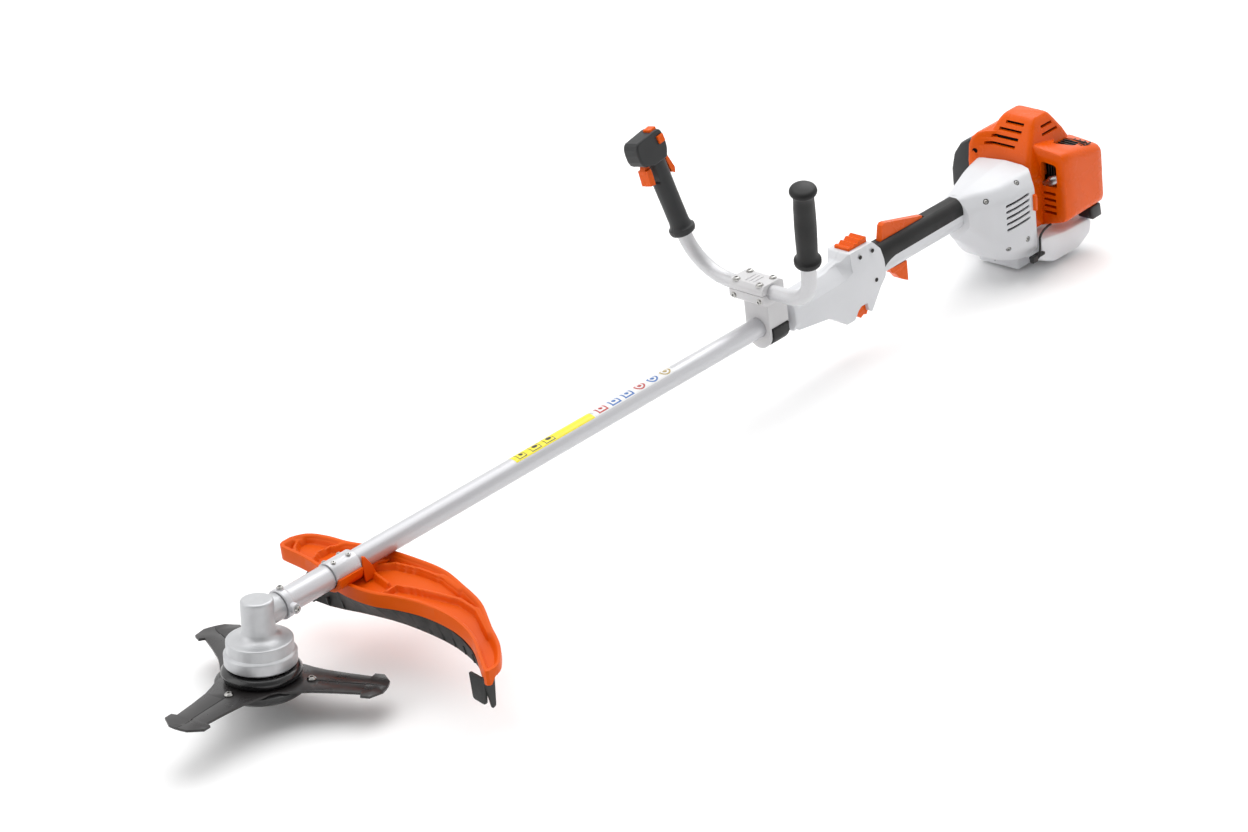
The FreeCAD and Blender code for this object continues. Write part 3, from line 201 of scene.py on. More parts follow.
def machined(name, colour, rough=0.25):
    """Turned or plated steel with fine tool marks."""
    n = Nodes(name)
    marks = n.noise(700.0, 3.0, (1, 1, 0.15))
    dull = n.noise(90.0, 4.0)
    n.bumps([(marks, 0.12, 0.0001)])
    return n.surface(Base_Color=n.mix(n.span(dull, 0, 1), tinted(colour, 0.6), colour), Metallic=1.0,
                     Roughness=n.span(dull, rough + 0.15, rough - 0.05))


def milky(name, colour):
    """Translucent tank plastic."""
    n = Nodes(name)
    cloud = n.noise(14.0, 3.0)
    n.bumps([(n.noise(700.0, 3.0), 0.16, 0.0002)])
    return n.surface(Base_Color=n.mix(n.span(cloud, 0, 1), tinted(colour, 0.93), colour), Roughness=0.34,
                     Subsurface_Weight=0.6, Subsurface_Radius=(0.02, 0.02, 0.022), Subsurface_Scale=0.5)


MATERIALS = {
    "cast": cast_metal("cast", linear(196, 197, 199), 0.44, 0.3),
    "steel": machined("steel", linear(190, 190, 192)),
    "tube": painted_tube("tube", linear(196, 196, 199), 0.36),
    "bar": painted_tube("bar", linear(196, 196, 198), 0.38),
    "blade": moulded("blade", linear(40, 38, 38), 0.3, 0.06, 0.05, 0.2, 0.1),
    "hub": moulded("hub", linear(18, 18, 19), 0.28, 0.2, 0.1, 0.4, 0.1),
    "orange": moulded("orange", linear(226, 88, 0), 0.26, 0.05, 0.02, 0.0, 0.0, 0.2),
    "orange_matte": moulded("orange_matte", linear(224, 88, 0), 0.42, 0.15, 0.03, 0.0, 0.0, 0.16),
    "skirt": moulded("skirt", linear(38, 39, 38), 0.55, 0.5, 0.12, 0.0, 0.2),
    "white": moulded("white", linear(212, 213, 216), 0.34, 0.15, 0.02, 0.12, 0.0),
    "clamp": moulded("clamp", linear(204, 203, 204), 0.42, 0.3, 0.03, 0.1, 0.1),
    "grip": rubber("grip", linear(11, 11, 11), 0.5),
    "control": moulded("control", linear(40, 41, 42), 0.44, 0.35, 0.06, 0.0, 0.15),
    "tank": milky("tank", linear(226, 227, 230)),
    "screws": machined("screws", linear(200, 199, 196), 0.22),
    "dark_steel": machined("dark_steel", linear(80, 78, 76), 0.4),
    "hose": rubber("hose", linear(24, 24, 24), 0.4),
    # Near-black matte material of painted shade: dark sheets, plugs and the cylinder stand for the shade inside
    # covers and holes
    "painted_shade": moulded("painted_shade", linear(16, 15, 15), 0.85, 0.1, 0.1, 0.0, 0.0, 0.05),
}
LABEL_COLOURS = {"label_yellow": (238, 222, 10), "label_white": (226, 226, 226), "label_red": (176, 40, 36),
                 "label_blue": (48, 104, 172), "label_ochre": (170, 148, 84), "label_black": (40, 40, 34)}
for label, colour in LABEL_COLOURS.items():
    MATERIALS[label] = moulded(label, linear(*colour), 0.35, 0.05, 0.02, 0.2, 0.0)
SLOT_OF = {part["node"]: part["material_slot"] for part in frame["record"]["subparts"]}


# Objects and carried-over CAD nodes

def paint(piece, material):
    """Give a piece its only material."""
    piece.data.materials.clear()
    piece.data.materials.append(MATERIALS[material])


def add_bevel(piece, width, angle_deg, segments):
    """Put a bevel modifier on a piece's hard edges."""
    bevel = piece.modifiers.new("soft_edges", "BEVEL")
    bevel.width = width * MM
    bevel.segments = segments
    bevel.limit_method = "ANGLE"
    bevel.angle_limit = math.radians(angle_deg)
    return bevel


def add_object(name, data):
    """Put a new object in the scene."""
    made = bpy.data.objects.new(name, data)
    bpy.context.scene.collection.objects.link(made)
    return made


def finish_cad_nodes():
    """Give each carried-over node its material and soften its edges.

    The cylinder shows only through the cover's slots, so it takes the near-black painted shade material: its
    colour is painted shade.
    """
    for name, node in frame["nodes"].items():
        paint(node, "painted_shade" if name == "cylinder" else SLOT_OF[name])
        weld = node.modifiers.new("weld", "WELD")
        weld.merge_threshold = 0.00002
        add_bevel(node, 0.5, 35, 2).harden_normals = True


# Mesh helpers: outlines and meshes are in shaft-frame millimetres

def show(piece, node=None, body="frame"):
    """Attach a piece to its body and hide the CAD node that it stands for, if any."""
    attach(piece, body)
    if node:
        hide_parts(node)


def new_piece(name, points, faces, slot_name, node=None, sharp_deg=32.0, body="frame"):
    """Make a piece from points and faces, and show it unless its body is None."""
    mesh = bpy.data.meshes.new(name)
    mesh.from_pydata([at(*point) for point in points], [], faces)
    tidy = bmesh.new()
    tidy.from_mesh(mesh)
    bmesh.ops.remove_doubles(tidy, verts=tidy.verts, dist=0.00001)
    bmesh.ops.recalc_face_normals(tidy, faces=tidy.faces)
    tidy.to_mesh(mesh)
    tidy.free()
    piece = add_object(name, mesh)
    paint(piece, slot_name)
    smooth_shade(piece, sharp_deg)
    if body:
        show(piece, node, body)
    return piece


def smooth_shade(piece, sharp_deg):
    """Shade smoothly except across edges sharper than the given angle."""
    piece.data.shade_smooth()
    piece.data.set_sharp_from_angle(angle=math.radians(sharp_deg))


def ring_faces(rows, columns):
    """Faces of a closed skin through rings that each have the same number of points."""
    faces = []
    for row in range(rows - 1):
        for column in range(columns):
            after = (column + 1) % columns
            faces.append((row * columns + column, row * columns + after,
                          (row + 1) * columns + after, (row + 1) * columns + column))
    faces.append(tuple(range(columns))[::-1])
    faces.append(tuple((rows - 1) * columns + column for column in range(columns)))
    return faces


def skin(name, rings, slot_name, node=None, sharp_deg=32.0, body="frame"):
    """A closed piece through a run of rings."""
    points = [point for ring in rings for point in ring]
    return new_piece(name, points, ring_faces(len(rings), len(rings[0])), slot_name, node, sharp_deg, body)


def rounded(corners, steps=5):
    """Outline with each corner (a, b, radius) turned into an arc."""
    outline = []
    count = len(corners)
    for index, (a, b, radius) in enumerate(corners):
        here = Vector((a, b))
        back = Vector(corners[index - 1][:2]) - here
        ahead = Vector(corners[(index + 1) % count][:2]) - here
        angle = back.angle(ahead)
        reach = min(radius / math.tan(angle / 2), back.length * 0.49, ahead.length * 0.49)
        first, last = here + back.normalized() * reach, here + ahead.normalized() * reach
        for step in range(steps + 1):
            t = step / steps
            outline.append(tuple(first * (1 - t) ** 2 + here * (2 * t * (1 - t)) + last * t ** 2))
    return outline


def lerp(first, last, t):
    """Point for point mix of two outlines."""
    return [tuple(a + (b - a) * t for a, b in zip(p, q)) for p, q in zip(first, last)]


def inset(outline, amount):
    """Shrink an outline towards its middle by about the given amount."""
    middle = [sum(point[k] for point in outline) / len(outline) for k in (0, 1)]
    spans = [max(point[k] for point in outline) - min(point[k] for point in outline) for k in (0, 1)]
    return [tuple(middle[k] + (point[k] - middle[k]) * (1 - 2 * amount / spans[k]) for k in (0, 1))
            for point in outline]


def along_x(sections):
    """Rings across X from (x, outline in y and z)."""
    return [[(x, y, z) for y, z in outline] for x, outline in sections]


def across(name, outline, y_span, slot_name, node=None, body="frame"):
    """A piece with one (x, z) outline from side to side."""
    return skin(name, [[(x, y, z) for x, z in outline] for y in y_span], slot_name, node, body=body)


def cutter(points, faces):
    """A mesh to carve a piece with, which carve() removes afterwards."""
    return new_piece("cutter", points, faces, "screws", body=None)


def box_cutter(x_span, y_span, z_span):
    """A box-shaped cutter."""
    points = [(x, y, z) for x in x_span for y in y_span for z in z_span]
    faces = [(0, 1, 3, 2), (4, 6, 7, 5), (0, 4, 5, 1), (2, 3, 7, 6), (0, 2, 6, 4), (1, 5, 7, 3)]
    return cutter(points, faces)


def ring_cutter(rings):
    """A cutter skinned through a run of rings."""
    return cutter([point for ring in rings for point in ring], ring_faces(len(rings), len(rings[0])))


def prism_cutter(y_span, outline):
    """A cutter with one (x, z) outline from one Y to another."""
    return ring_cutter([[(x, y, z) for x, z in outline] for y in y_span])


def circle(radius, sides, height=0.0):
    """Points of a circle round Z at one height."""
    turns = [2 * math.pi * k / sides for k in range(sides)]
    return [(radius * math.cos(turn), radius * math.sin(turn), height) for turn in turns]


def placed_circle(place, turn, radius, sides, along=0.0):
    """Points of a circle turned by a rotation and moved to a place."""
    return [tuple(Vector(place) + turn @ Vector(point)) for point in circle(radius, sides, along)]


def bar_cutter(start, end, radius, sides=32):
    """A round cutter between two points."""
    turn = (Vector(end) - Vector(start)).to_track_quat("Z", "Y")
    return ring_cutter([placed_circle(place, turn, radius, sides) for place in (start, end)])


def bake(piece):
    """Make a piece's modifiers part of its mesh."""
    graph = bpy.context.evaluated_depsgraph_get()
    mesh = bpy.data.meshes.new_from_object(piece.evaluated_get(graph))
    piece.modifiers.clear()
    piece.data = mesh


def carve(piece, cutters, operation="DIFFERENCE"):
    """Subtract, join or intersect with the cutters, then take them out of the scene."""
    for tool in cutters:
        change = piece.modifiers.new("carve", "BOOLEAN")
        change.operation = operation
        change.object = tool
        change.solver = "EXACT"
    bake(piece)
    for tool in cutters:
        bpy.data.objects.remove(tool)


def soften(piece, width, angle_deg=40.0, segments=3, sharp_deg=32.0):
    """Round a piece's hard edges."""
    add_bevel(piece, width, angle_deg, segments)
    bake(piece)
    smooth_shade(piece, sharp_deg)


def turned_piece(name, place, axis, profile, slot_name, node=None, sides=36, body="frame"):
    """A turned piece from (radius, distance along the axis) points, closed by flat ends."""
    turn = Vector(axis).normalized().to_track_quat("Z", "Y")
    rings = [placed_circle(place, turn, radius, sides, along) for radius, along in profile]
    return skin(name, rings, slot_name, node, 40.0, body)


def swept(name, path, radius, slot_name, node):
    """A round hose along a run of points."""
    rings = []
    for index, place in enumerate(path):
        ahead = Vector(path[min(index + 1, len(path) - 1)]) - Vector(path[max(index - 1, 0)])
        rings.append(placed_circle(place, ahead.to_track_quat("Z", "Y"), radius, 16))
    return skin(name, rings, slot_name, node, 50.0)


def copy_of(node_name, name, material):
    """A new piece with a CAD node's mesh and its own material."""
    node = frame["nodes"][node_name]
    piece = add_object(name, node.data.copy())
    piece.matrix_world = node.matrix_world.copy()
    paint(piece, material)
    return piece


def screw_head(name, place, axis, radius, node=None):
    """Round screw head with a star-shaped socket."""
    turn = Vector(axis).normalized().to_track_quat("Z", "Y")
    sides = 48
    rings = []
    for scale, along in ((1.0, -1.0), (1.0, 0.9), (0.86, 1.5), (0.55, 1.9), (0.5, 0.5), (0.05, 0.5)):
        ring = []
        for k in range(sides):
            angle = 2 * math.pi * k / sides
            star = 1.0 - (0.16 * (1 + math.cos(6 * angle)) if 0.04 < scale < 0.6 else 0.0)
            reach = radius * scale * star
            point = Vector((reach * math.cos(angle), reach * math.sin(angle), along))
            ring.append(tuple(Vector(place) + turn @ point))
        rings.append(ring)
    return skin(name, rings, "screws", node, 30.0)


def ease(value):
    """Ease from 0 to 1."""
    value = min(max(value, 0.0), 1.0)
    return value * value * (3 - 2 * value)


def hermite(t):
    """Weights of the first place, its slope, the second place and its slope on a smooth curve."""
    return 2 * t ** 3 - 3 * t ** 2 + 1, t ** 3 - 2 * t ** 2 + t, 3 * t ** 2 - 2 * t ** 3, t ** 3 - t ** 2


def neighbours(items, low):
    """The four items round one stretch of a line, with the ends repeated."""
    return [items[min(max(low + k, 0), len(items) - 1)] for k in (-1, 0, 1, 2)]


def through(points, y):
    """X of a smooth line through (x, y) points, listed from far to near."""
    low = 0
    while low < len(points) - 2 and y < points[low + 1][1]:
        low += 1
    (x0, y0), (x1, y1), (x2, y2), (x3, y3) = neighbours(points, low)
    span = y2 - y1
    slope_1 = (x2 - x0) / (y2 - y0) * span
    slope_2 = (x3 - x1) / (y3 - y1) * span
    weights = hermite(min(max((y - y1) / span, 0.0), 1.0))
    return weights[0] * x1 + weights[1] * slope_1 + weights[2] * x2 + weights[3] * slope_2


def distance_to(path, x, y):
    """Distance from a place to a run of points."""
    nearest = 1e9
    for (x0, y0), (x1, y1) in zip(path, path[1:]):
        dx, dy = x1 - x0, y1 - y0
        t = min(max(((x - x0) * dx + (y - y0) * dy) / (dx * dx + dy * dy), 0.0), 1.0)
        nearest = min(nearest, math.hypot(x - x0 - dx * t, y - y0 - dy * t))
    return nearest


# Guard

GUARD_FRONT = ((142, 138), (142, 126), (139, 70), (131, 28), (125, -15), (127, -55), (138, -92), (144, -130),
               (142, -175), (132, -222), (108, -262), (86, -296))
GUARD_REAR = ((160, 138), (183, 122), (194, 95), (199, 62), (211, 20), (217, -30), (217, -90), (204, -138),
              (187, -186), (164, -225), (145, -258), (104, -296))
GUARD_FAR, GUARD_NEAR = 133.0, -282.0
GUARD_TOP = -12.0
GUARD_WALL = 19.0
GUARD_LIP = 11.0
GUARD_SKIN = 3.0
GUARD_DEPTH = 10.0
GUARD_RIBS = (((170, -4), (158, -54)),
              ((176, -3), (197, -26), (204, -62), (205, -101), (195, -140)),
              ((134, -64), (161, -66), (169, -93), (175, -125), (180, -156), (174, -191), (153, -231)),
              ((194, 80), (189, 106), (179, 121), (166, 121), (154, 113), (146, 102)),
              ((203, 45), (194, 62), (179, 76), (161, 78), (141, 69)))


def guard_top(y):
    """Height of the guard's rim, drooping at the near end."""
    return GUARD_TOP - 19.0 * ease((-y - 175) / 115)


def guard_surface(x, y, front, rear):
    """Height of the guard's upper side: raised rims, a sunk deck and raised ribs."""
    rims = ease((x - front - 4.5) / 3.5) * ease((rear - x - 4.0) / 9.0)
    ends = ease((127.0 - y) / 5.0) * ease((y - GUARD_NEAR - 3) / 8)
    depth = GUARD_DEPTH * rims * ends * (0.55 + 0.45 * ease((y + 285) / 60))
    raised = 0.0
    for rib in GUARD_RIBS:
        raised = max(raised, 1 - ease((distance_to(rib, x, y) - 1.6) / 3.2))
    return guard_top(y) - depth * (1 - 0.75 * raised)


def guard_edges(y):
    """Front and rear X of the guard at one distance across it, with rounded far and near ends."""
    front, rear = through(GUARD_FRONT, y), through(GUARD_REAR, y)
    near = 1 - min(max((y - GUARD_NEAR) / 9.0, 0.0), 1.0)
    far = 1 - min(max((GUARD_FAR - y) / 12.0, 0.0), 1.0)
    pull = 6.0 * (1 - math.sqrt(1 - near ** 2)) + 9.0 * (1 - math.sqrt(1 - far ** 2))
    return front + pull, rear - pull * (1.0 if near > 0 else 0.4)


def guard_ring(y, columns=56):
    """Closed outline of the guard at one distance across it."""
    front, rear = guard_edges(y)
    top = guard_top(y)
    places = [front + (rear - front) * k / columns for k in range(columns + 1)]
    upper = [(x, y, guard_surface(x, y, front, rear)) for x in places]
    upper[0] = (front, y, top - 1.2)
    upper[-1] = (rear, y, top - 1.5)
    foot = top - GUARD_WALL - 5.0 * ease((-y - 222) / 30) + 5.0 * ease((-y - 268) / 12)
    inner = (rear - front - 2 * GUARD_SKIN) / (rear - front)
    closed = y < GUARD_NEAR + 3.0 or y > GUARD_FAR - 3.0
    lower = []
    for x, _, z in reversed(upper):
        share = (x - front) / (rear - front)
        low = foot + (top - GUARD_LIP - foot) * share if closed else z - GUARD_SKIN
        lower.append((front + GUARD_SKIN + (x - front) * inner, y, low))
    return ([(front, y, foot)] + upper + [(rear, y, top - GUARD_LIP)]
            + [(rear - GUARD_SKIN, y, top - GUARD_LIP)] + lower
            + [(front + GUARD_SKIN, y, foot)])


def build_guard():
    """Orange guard with its ribs, the cradle under the tube and the leaning fin."""
    count = 170
    rings = [guard_ring(GUARD_FAR + (GUARD_NEAR - GUARD_FAR) * k / count) for k in range(count + 1)]
    skin("guard", rings, "orange_matte", "shield", 40.0)
    arc = [math.radians(180 + 180 * k / 24) for k in range(25)]
    cradle = []
    for x, grow in ((111.5, -1.0), (112.5, 0.0), (149.0, 0.0), (150.5, -1.5)):
        outer = [(x, (21.5 + grow) * math.cos(a), (21.5 + grow) * math.sin(a)) for a in arc]
        inner = [(x, 16.6 * math.cos(a), 16.6 * math.sin(a)) for a in reversed(arc)]
        cradle.append(outer + inner)
    skin("guard_cradle", cradle, "orange_matte", None, 40.0)
    fin = [(150.5, -22, -20), (170, -22, -20), (165, -20, -3), (158.5, -18, 9), (154.5, -17, 11),
           (151.0, -20, -2)]
    thick = Vector((0.5, 3.2, 0.8))
    plate = skin("guard_fin", [fin, [tuple(Vector(p) + thick) for p in fin]], "orange_matte")
    soften(plate, 0.9)
    web = [[(150, y, -22), (206, y, -20), (190, y, -12), (150, y, -6)] for y in (-9, 9)]
    soften(skin("guard_web", web, "orange_matte"), 2.5)


def build_knife():
    """Black line knife under the guard's near end: a flat plate and a narrow upright fin."""
    plate = rounded([(-242, -47, 2), (-243, -83, 5), (-264, -86, 5), (-268, -50, 2)], 4)
    rings = along_x([(x, plate) for x in (104.5, 108.5)])
    soften(skin("knife_plate", rings, "skirt", "skirt_knife"), 0.8)
    fin = rounded([(103, -46, 2), (122, -44, 2), (117, -90, 3), (111, -92, 3)], 4)
    soften(across("knife_fin", fin, (-268.5, -265.5), "skirt"), 0.6)


# Blade

BLADE_TOP = -76.0
BLADE_THICK = 3.0
BLADE_ARMS = (191.0, 300.0, 72.0)
BLADE_HALF = ((28, 40), (40, 38), (54, 33), (72, 28), (100, 24.5), (129, 22), (130, 22.2), (131.5, 29.5),
              (143, 29.5), (154.5, 14), (156, 3))


def spindle_point(x, y, z):
    """A point of the leaning spindle frame in the shaft frame."""
    return (LEANED @ Vector((x, y, z)))[:]


def build_blade():
    """Three-arm blade, each arm with a pressed line down its middle."""
    points, faces = [], []

    def add_skin(rings):
        start = len(points)
        points.extend(point for ring in rings for point in ring)
        faces.extend(tuple(start + k for k in face) for face in ring_faces(len(rings), len(rings[0])))

    for arm in BLADE_ARMS:
        turn = Matrix.Rotation(math.radians(arm), 3, "Z")
        rings = []
        for reach, half in BLADE_HALF:
            groove = 0.0 if reach < 72 else min(1.0, (156 - reach) / 10)
            kink = 2.5 * ease((reach - 126) / 8) - 2.5 * ease((reach - 140) / 14)
            section = [(-half, 0), (kink - 1.3, 0), (kink - 0.2, -1.6 * groove), (kink + 0.7, 0.4 * groove),
                       (half, 0.35 * groove), (half, -BLADE_THICK), (-half, -BLADE_THICK)]
            rings.append([spindle_point(*(turn @ Vector((reach, y, BLADE_TOP + z)))) for y, z in section])
        add_skin(rings)
    hub = []
    for depth, radius in ((0.03, 51.6), (0.4, 52.0), (2.97, 52.0)):
        hub.append([spindle_point(*point) for point in circle(radius, 72, BLADE_TOP - depth)])
    add_skin(hub)
    piece = new_piece("blade_plate", points, faces, "blade", "blade", 25.0, "output")
    soften(piece, 0.35, 50.0, 2, 25.0)


def build_cup():
    """Glossy dark cup under the blade."""
    bowl = [(16, -79.2), (54, -79.2), (57, -80.5), (57, -84.5), (54.5, -89), (48, -94), (38, -97.5),
            (20, -99)]
    turned_piece("cup_bowl", (0, 0, 0), SPINDLE, bowl, "hub", "blade_cup", 72, "output")


# Control housing

# Side outline (x, z, corner radius): along the belly, up the rear end and back over the hump
HOUSING_SIDE = ((942, -16, 3), (949, -21.5, 4), (1012, -31, 4), (1026, -40, 4), (1046, -55, 4),
                (1064, -55, 4), (1071, -45, 4), (1078, -40, 3), (1092, -40, 3), (1094, -53, 3),
                (1100, -57, 3), (1122, -28, 6), (1135, -15, 5), (1134, 10, 8), (1130, 27, 8),
                (1116, 42, 7), (1067, 42.5, 6), (1058, 33, 8), (1030, 27, 20), (950, 24, 5), (942, 17, 4))
TUBE_BORE_R = TUBE_R + 0.05


def build_housing():
    """White control housing in two half shells, with sloping shoulders and a raised switch hump."""
    body = across("housing", rounded(HOUSING_SIDE, 4), (-24.0, 24.0), "white", body=None)
    cutters = []
    for side in (-1, 1):
        slope = [(26, 7), (30, 7), (30, 60), (6, 60), (6, 28.5), (17.5, 16)]
        ends = [[(x, side * y, z) for y, z in slope] for x in (930, 1052)]
        ends.append([(1068, side * (y + (13.5 if z > 20 else 4)), z) for y, z in slope])
        cutters.append(ring_cutter(ends))
        lean = [(24.0, 3), (30, 3), (30, 60), (19, 60), (20, 42)]
        cutters.append(ring_cutter([[(x, side * y, z) for y, z in lean] for x in (1040, 1150)]))
    carve(body, cutters)
    soften(body, 2.4, 22.0, 3)
    room = [bar_cutter((930, 0, 0), (1140, 0, 0), TUBE_BORE_R)]
    room.append(box_cutter((1079.5, 1098.5), (-6, 6), (20, 60)))
    room.append(box_cutter((1077.0, 1093.0), (-19, 19), (-48, -38.5)))
    carve(body, room)
    for name, side in (("housing_left_shell", -1), ("housing_right_shell", 1)):
        half = add_object(name, body.data.copy())
        low, high = (-60, -0.12) if side < 0 else (0.12, 60)
        carve(half, [box_cutter((900, 1200), (low, high), (-90, 90))], "INTERSECT")
        smooth_shade(half, 32.0)
        paint(half, "white")
        show(half, "housing_left" if side < 0 else "housing_right")
    bpy.data.objects.remove(body)


# Engine

def smooth_sections(sections, steps=6):
    """Put smoothly mixed outlines between the given (place, outline) sections."""
    result = []
    for low in range(len(sections) - 1):
        (p0, a), (p1, b), (p2, c), (p3, d) = neighbours(sections, low)
        span = p2 - p1
        for step in range(steps):
            t = step / steps
            place_1, slope_1, place_2, slope_2 = hermite(t)
            outline = []
            for q0, q1, q2, q3 in zip(a, b, c, d):
                outline.append(tuple(place_1 * q1[k] + slope_1 * (q2[k] - q0[k]) / (p2 - p0) * span
                                     + place_2 * q2[k] + slope_2 * (q3[k] - q1[k]) / (p3 - p1) * span
                                     for k in (0, 1)))
            result.append((p1 + span * t, outline))
    return result + [sections[-1]]


def slot_cutter(x_span, y_span, z_middle, tall, slope=0.0):
    """Round-ended slot running along X, cutting through Y."""
    (x0, x1), half = x_span, tall / 2
    outline = []
    for middle, turn in ((x1 - half, -90), (x0 + half, 90)):
        for k in range(9):
            angle = math.radians(turn + 180 * k / 8)
            x = middle + half * math.cos(angle)
            outline.append((x, z_middle + half * math.sin(angle) + slope * (x - x0)))
    return prism_cutter(y_span, outline)


# Screws of the shroud's near side: place on the surface and outward direction
SHROUD_SCREWS = (((1391, -58.5, 33), (-0.21, -0.68, 0.7)), ((1341, -41, 19), (-0.68, -0.54, 0.48)),
                 ((1393.5, -71, -53.5), (-0.16, -0.99, 0.0)), ((1362, -60, -59.5), (-0.55, -0.72, -0.42)))
SCREW_WELL_R, SCREW_WELL_DEPTH = 4.2, 2.2


def shroud_section(far, near, low, high, corner):
    """Outline of the fan shroud in y and z at one place."""
    return rounded([(far, low + 18, corner), (far - 16, low, corner), (-near + 22, low, corner),
                    (-near, low + 24, corner), (-near, high - 20, corner), (-near + 16, high - 2, corner),
                    (-8, high, corner), (far - 2, high - 6, corner)], 5)


def build_shroud():
    """White fan shroud that swells from the handle to the engine, with five slots low on its near side."""
    sections = [(1318, shroud_section(22, 27, -40, 25, 14)), (1330, shroud_section(25, 36, -54, 29, 16)),
                (1346, shroud_section(29, 52, -72, 33, 18)), (1366, shroud_section(35, 64, -84, 36, 19)),
                (1396, shroud_section(44, 71.5, -93, 40, 19)), (1431, shroud_section(52, 74, -97.5, 42, 19))]
    shroud = skin("shroud", along_x(smooth_sections(sections, 7)), "white", body=None)
    hollow = [(x, inset(outline, 3.0)) for x, outline in smooth_sections(sections, 3)]
    hollow = hollow[3:-1] + [(1440, inset(sections[-1][1], 3.0))]
    cutters = [ring_cutter(along_x(hollow))]
    for index in range(5):
        cutters.append(slot_cutter((1360, 1401), (-110, -30), 7.5 - 9.2 * index, 3.9, 0.19))
    for place, outward in SHROUD_SCREWS:
        place, outward = Vector(place), Vector(outward)
        cutters.append(bar_cutter(place + 12 * outward, place - 6 * outward, SCREW_WELL_R))
    flank = [(1431.5, -36), (1427, -52), (1416, -66), (1408, -80), (1408, -120), (1450, -120), (1450, -36)]
    cutters.append(ring_cutter([[(x, y, z) for x, y in flank] for z in (-130, 60)]))
    carve(shroud, cutters)
    soften(shroud, 0.7, 50.0, 2, 34.0)
    show(shroud, "fan_shroud")
    # Dark sheet inside the shroud behind the slots, in the painted shade material: painted shade seen through the
    # slots
    shade_vane = []
    for x in (1340, 1419):
        grow = (x - 1340) / 88
        shade_vane.append([(x, -28 - 34 * grow, -46 - 30 * grow), (x, -28 - 34 * grow, 20 + 8 * grow),
                     (x, -26 - 34 * grow, 20 + 8 * grow), (x, -26 - 34 * grow, -46 - 30 * grow)])
    paint(skin("shroud_shade_sheet", shade_vane, "hub"), "painted_shade")
    for index, (place, outward) in enumerate(SHROUD_SCREWS):
        # Dark plug at the bottom of each screw well, in the hub's near-black material: painted shade in the well
        shade_lining = [(SCREW_WELL_R - 0.1, -6), (SCREW_WELL_R - 0.1, -SCREW_WELL_DEPTH)]
        turned_piece("shroud_screw_well_shade_" + str(index), place, outward, shade_lining, "hub")
        foot = Vector(place) - SCREW_WELL_DEPTH * Vector(outward)
        screw_head("shroud_screw_" + str(index), foot, outward, 3.1)


SLOT_HALF = 2.1


def cover_ring(z, x_span, y_span, corner):
    """Rounded rectangle at one height."""
    (x0, x1), (y0, y1) = x_span, y_span
    outline = rounded([(x0, y0, corner), (x1, y0, corner), (x1, y1, corner), (x0, y1, corner)], 5)
    return [(x, y, z) for x, y in outline]


def build_top_cover():
    """Orange engine cover: a peaked roof with cooling slots and a lower shoulder on the far side."""
    roof = [cover_ring(12, (1432, 1554), (-47, 58), 9), cover_ring(25, (1433, 1553), (-46, 57), 9),
            cover_ring(60, (1454, 1536), (-36.5, 44), 9), cover_ring(84, (1470, 1519), (-30, 33), 9),
            cover_ring(89.5, (1474.5, 1514.5), (-27.5, 29), 8), cover_ring(92, (1478, 1511), (-25, 26), 7)]
    cover = skin("cover", roof, "orange", body=None)
    rings = []
    for z, far, front in ((4, 64, 1434), (26, 64.5, 1434), (50, 64, 1435), (61, 60.5, 1438), (67, 54.5, 1443),
                          (69.5, 47, 1449)):
        ramp = 1434 + 0.6 * max(z - 25, 0)
        outline = rounded([(front, far, 5), (ramp, 26, 3), (1552, 26, 3), (1552, far, 8)], 4)
        rings.append([(x, y, z) for x, y in outline])
    carve(cover, [ring_cutter(rings)], "UNION")
    soften(cover, 1.8, 35.0, 3, 34.0)
    hollow = [cover_ring(5, (1437, 1549), (-42, 52), 8), cover_ring(25, (1437, 1549), (-42, 52), 8),
              cover_ring(84, (1475, 1514), (-25, 28), 8), cover_ring(88, (1479, 1510), (-22, 24), 6)]
    cutters = [ring_cutter(hollow)]
    for index, (far, near) in enumerate(((17, -15), (25, -15), (33, -13), (40, -11))):
        z = 83 - 9.6 * index
        x = 1463 - 6.2 * index
        cutters.append(box_cutter((x - 12, x + 26), (near, far), (z - SLOT_HALF, z + SLOT_HALF)))
    for z, x_span in ((77, (1487, 1512)), (66, (1485, 1520))):
        cutters.append(box_cutter(x_span, (-60, -26), (z - SLOT_HALF, z + SLOT_HALF)))
    carve(cover, cutters)
    smooth_shade(cover, 34.0)
    show(cover, "top_cover")
    # Dark plates behind the slots and a dark lining inside the cover, in the painted shade material: painted shade
    # seen through the slots
    backing = [[(1446, -30, 38), (1448, -30, 38), (1448, 44, 38), (1446, 44, 38)],
               [(1460, -28, 60), (1462, -28, 60), (1462, 38, 60), (1460, 38, 60)],
               [(1477.5, -22, 87), (1479.5, -22, 87), (1479.5, 24, 87), (1477.5, 24, 87)]]
    paint(skin("cover_shade_backing", backing, "hub"), "painted_shade")
    shade_lining = [cover_ring(16, (1442, 1546), (-38, 50), 8), cover_ring(60, (1462, 1529), (-31, 39), 8),
              cover_ring(83, (1479, 1511), (-23, 26), 6)]
    paint(skin("cover_lining", shade_lining, "hub"), "painted_shade")
    # Dark plug in the shoulder's screw well, in the painted shade material: painted shade in the well
    well = turned_piece("cover_screw_well_shade", (1438, 53, 41.5), (-0.92, -0.38, 0.05), [(4.0, -4), (4.0, 0.5)],
                        "hub")
    paint(well, "painted_shade")


